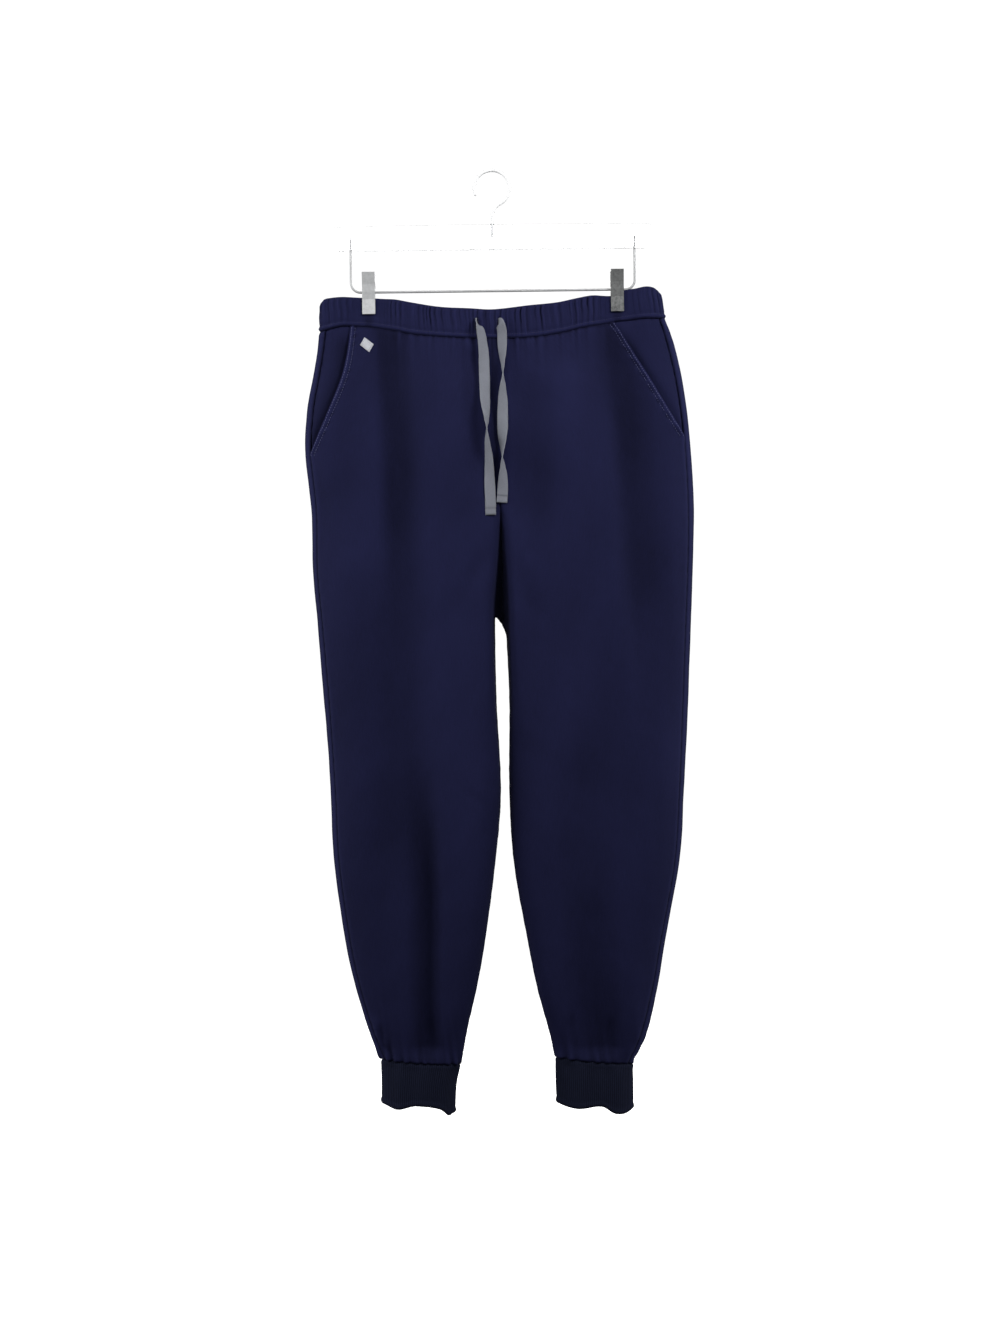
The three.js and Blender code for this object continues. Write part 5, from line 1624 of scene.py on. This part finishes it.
class JOGGERS_OT_label(JoggersOperator):
    """Make the small plain woven label and the stitches that hold it"""

    bl_idname = "joggers.label"
    bl_label = "Label"

    def execute(self, context):
        trim = settings()[1]
        turn, lean = math.radians(LABEL_TURN), math.radians(LABEL_LEAN)
        down, over = np.linspace(0.5, -0.5, LABEL_ROWS), np.linspace(-0.5, 0.5, LABEL_COLUMNS)
        v, u = np.meshgrid(down * LABEL_TALL, over * LABEL_LONG, indexing="ij")
        x = LABEL_X + u * math.cos(turn) + v * math.cos(lean)
        z = LABEL_Z + u * math.sin(turn) + v * math.sin(lean)
        points, normal = on_piece("panel_front_right", x, z)
        out = unit(normal.mean(axis=(0, 1)))
        level = (points - points.mean(axis=(0, 1))) @ out
        normal = np.broadcast_to(out, points.shape)
        rise = LABEL_THICK / 2 + 0.25 + 0.12 * unevenness(u, v, 9, LABEL_SEED)
        middle = moved(points, normal, rise - 0.6 * level)
        to_edge = np.minimum(LABEL_LONG / 2 - np.abs(u), LABEL_TALL / 2 - np.abs(v))
        half = LABEL_THICK / 2 * rounded(to_edge, 0.5, 0.1) + 0.12 * bell(to_edge, 1.6, 0.35)
        fabric = finish("woven_label", label_finish, trim.label)
        piece = shell("woven_label", middle, normal, half, fabric, (u, v))
        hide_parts("label")
        front = moved(middle, normal, half)
        lines = (front[3, 2:-2], front[-4, 2:-2], front[3:-3, 3], front[3:-3, -4])
        thread = finish("label_thread", thread_finish, shade(trim.label, 0.55))
        runs = [stitch_run(line, np.broadcast_to(out, line.shape), *LABEL_STITCH) for line in lines]
        stitching("label_stitches", runs, thread)
        return {"FINISHED"}


class JOGGERS_OT_topstitching(JoggersOperator):
    """Make the rows of topstitching along the pocket edges"""

    bl_idname = "joggers.topstitching"
    bl_label = "Topstitching"

    def execute(self, context):
        stitch = settings()[0].stitch / MM
        shares = np.concatenate([[0], np.linspace(0.80, 1.0, EDGE_COLUMNS)])
        runs = []
        for side in SIDES:
            levels = np.linspace(WAIST_LEVEL - 1, pocket_foot(side) + 2, EDGE_ROWS)
            points, normal, detail, _, _, edge = panel_grid(side, "front", levels, shares)
            surface = moved(points, normal, detail)
            for inset in (EDGE_STITCH, EDGE_STITCH_2):
                spots = np.arange(len(levels)), 1 + np.argmin(np.abs(edge[:, 1:] - inset), axis=1)
                line, way = surface[spots], normal[spots]
                runs.append(stitch_run(line, way, POCKET_STITCH_PITCH, stitch, POCKET_STITCH_WIDE))
        stitching("pocket_topstitches", runs, navy_thread())
        return {"FINISHED"}


class JOGGERS_OT_hanger(JoggersOperator):
    """Make the hanger's hook and wire, and finish its bar, clips and springs"""

    bl_idname = "joggers.hanger"
    bl_label = "Hanger"

    def execute(self, context):
        hanger = settings()[2]
        steel = finish("bright_steel", steel_finish, hanger.steel, *SPRING_STEEL)
        # The hook's and the wire's colours are painted reflections of the room.
        pale = finish("pale_hook_plate", steel_finish, hanger.hook, *HOOK_REFLECTION_PLATE)
        satin = finish("satin_wire_plate", steel_finish, hanger.wire, *WIRE_REFLECTION_PLATE)
        hook = rod("hook_rod", self.tilted(self.hook_route()), HOOK_WIRE, pale)
        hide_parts("hanger_hook")
        wire = rod("clip_wire", self.tilted(self.wire_route()), WIRE, satin)
        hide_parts("hanger_wire")

        # The clips' plates carry painted reflections: pale on the wearer's right clip, dark on the left.
        plates = {
            "right": finish("bright_clip_plate", steel_finish, hanger.bright_clip, *LIGHT_REFLECTION_PLATE),
            "left": finish("dull_clip_plate", steel_finish, hanger.dull_clip, *DARK_REFLECTION_PLATE),
        }
        finishes = {"hanger_bar": finish("clear_plastic", clear_finish, hanger.clear)}
        for side, plate in plates.items():
            finishes[f"clip_spring_{side}"] = steel
            for face in FOLDS:
                finishes[f"clip_jaw_{face}_{side}"] = plate
        for name, material in finishes.items():
            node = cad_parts[name]
            node.data.materials.clear()
            node.data.materials.append(material)
            round_edges = node.modifiers.new("rounded_edges", "BEVEL")
            round_edges.width = hanger.edge
            round_edges.segments = 2
            round_edges.limit_method = "ANGLE"
            round_edges.angle_limit = math.radians(40)
            round_edges.harden_normals = True
        return {"FINISHED"}

    def tilted(self, route):
        """The hanger hangs slightly turned about its hook."""
        x, y, z = np.asarray(route, float).T
        c, s = math.cos(TILT), math.sin(TILT)
        return np.stack([x * c - z * s, y, x * s + z * c], -1)

    def arc(self, x, z, radius, start, end, steps):
        """Points of an arc about a centre, without its first."""
        turns = np.linspace(start, end, steps)[1:]
        return [(x + radius * math.cos(t), 0, z + radius * math.sin(t)) for t in turns]

    def hook_route(self):
        """Up the stem, over a bend to the side and round the crook."""
        middle = HOOK_WIRE - HOOK_BEND
        x, z = HOOK_BEND * math.cos(HOOK_START), middle + HOOK_BEND * math.sin(HOOK_START)
        stem = [(0, 0, z) for z in np.linspace(BAR_TOP - SOCKET + 1, CROOK_LOW, STEM_STEPS)]
        a, b, c, d = np.array([(0, CROOK_LOW), (0, CROOK_HIGH), (x - 5, z - 3), (x, z)])
        bend = []
        for t in np.linspace(0, 1, CROOK_STEPS)[1:]:
            x, z = (1 - t) ** 3 * a + 3 * t * (1 - t) ** 2 * b + 3 * t * t * (1 - t) * c + t**3 * d
            bend.append((x, 0, z))
        return [*stem, *bend, *self.arc(0, middle, HOOK_BEND, HOOK_START, HOOK_END, HOOK_STEPS)]

    def wire_route(self):
        """Down from one end of the bar, along under it and up to its other end."""
        z = BAR_TOP - RAIL_DROP
        top = BAR_TOP - BAR_TALL + SOCKET - 1
        bend_z, bend_x = z + RAIL_BEND, RAIL_HALF - RAIL_BEND
        down = [(-RAIL_HALF, 0, h) for h in np.linspace(top, bend_z, UPRIGHT_STEPS)]
        flat = [(x, 0, z) for x in np.linspace(-bend_x, bend_x, RAIL_STEPS)[1:]]
        up = [(RAIL_HALF, 0, h) for h in np.linspace(bend_z, top, UPRIGHT_STEPS)[1:]]
        left = self.arc(-bend_x, bend_z, RAIL_BEND, math.pi, 1.5 * math.pi, CORNER_STEPS)
        right = self.arc(bend_x, bend_z, RAIL_BEND, 1.5 * math.pi, 2 * math.pi, CORNER_STEPS)
        return [*down, *left, *flat, *right, *up]


class JOGGERS_PT_panel(bpy.types.Panel):
    """Lists the pieces and their settings"""

    bl_idname = "JOGGERS_PT_panel"
    bl_label = "Scrub joggers"
    bl_space_type = "VIEW_3D"
    bl_region_type = "UI"
    bl_category = "Joggers"

    def draw(self, context):
        layout = self.layout
        for name in GROUPS:
            group = getattr(context.scene, name)
            box = layout.box()
            for key in group.bl_rna.properties.keys():
                if key not in ("rna_type", "name"):
                    box.prop(group, key)
        for operator in OPERATORS:
            layout.operator(operator.bl_idname)


OPERATORS = (
    JOGGERS_OT_stage,
    JOGGERS_OT_drawstring,
    JOGGERS_OT_panels,
    JOGGERS_OT_facings,
    JOGGERS_OT_waistband,
    JOGGERS_OT_cuffs,
    JOGGERS_OT_label,
    JOGGERS_OT_topstitching,
    JOGGERS_OT_hanger,
)
GROUPS = {
    "joggers_cloth": JoggersClothSettings,
    "joggers_trim": JoggersTrimSettings,
    "joggers_hanger": JoggersHangerSettings,
    "joggers_studio": JoggersStudioSettings,
}


def register():
    for cls in (*GROUPS.values(), *OPERATORS, JOGGERS_PT_panel):
        bpy.utils.register_class(cls)
    for name, group in GROUPS.items():
        setattr(bpy.types.Scene, name, PointerProperty(type=group))


def unregister():
    for name in GROUPS:
        delattr(bpy.types.Scene, name)
    for cls in reversed((*GROUPS.values(), *OPERATORS, JOGGERS_PT_panel)):
        bpy.utils.unregister_class(cls)


def main():
    register()
    for operator in OPERATORS:
        group, name = operator.bl_idname.split(".")
        getattr(getattr(bpy.ops, group), name)()


if __name__ == "__main__":
    main()
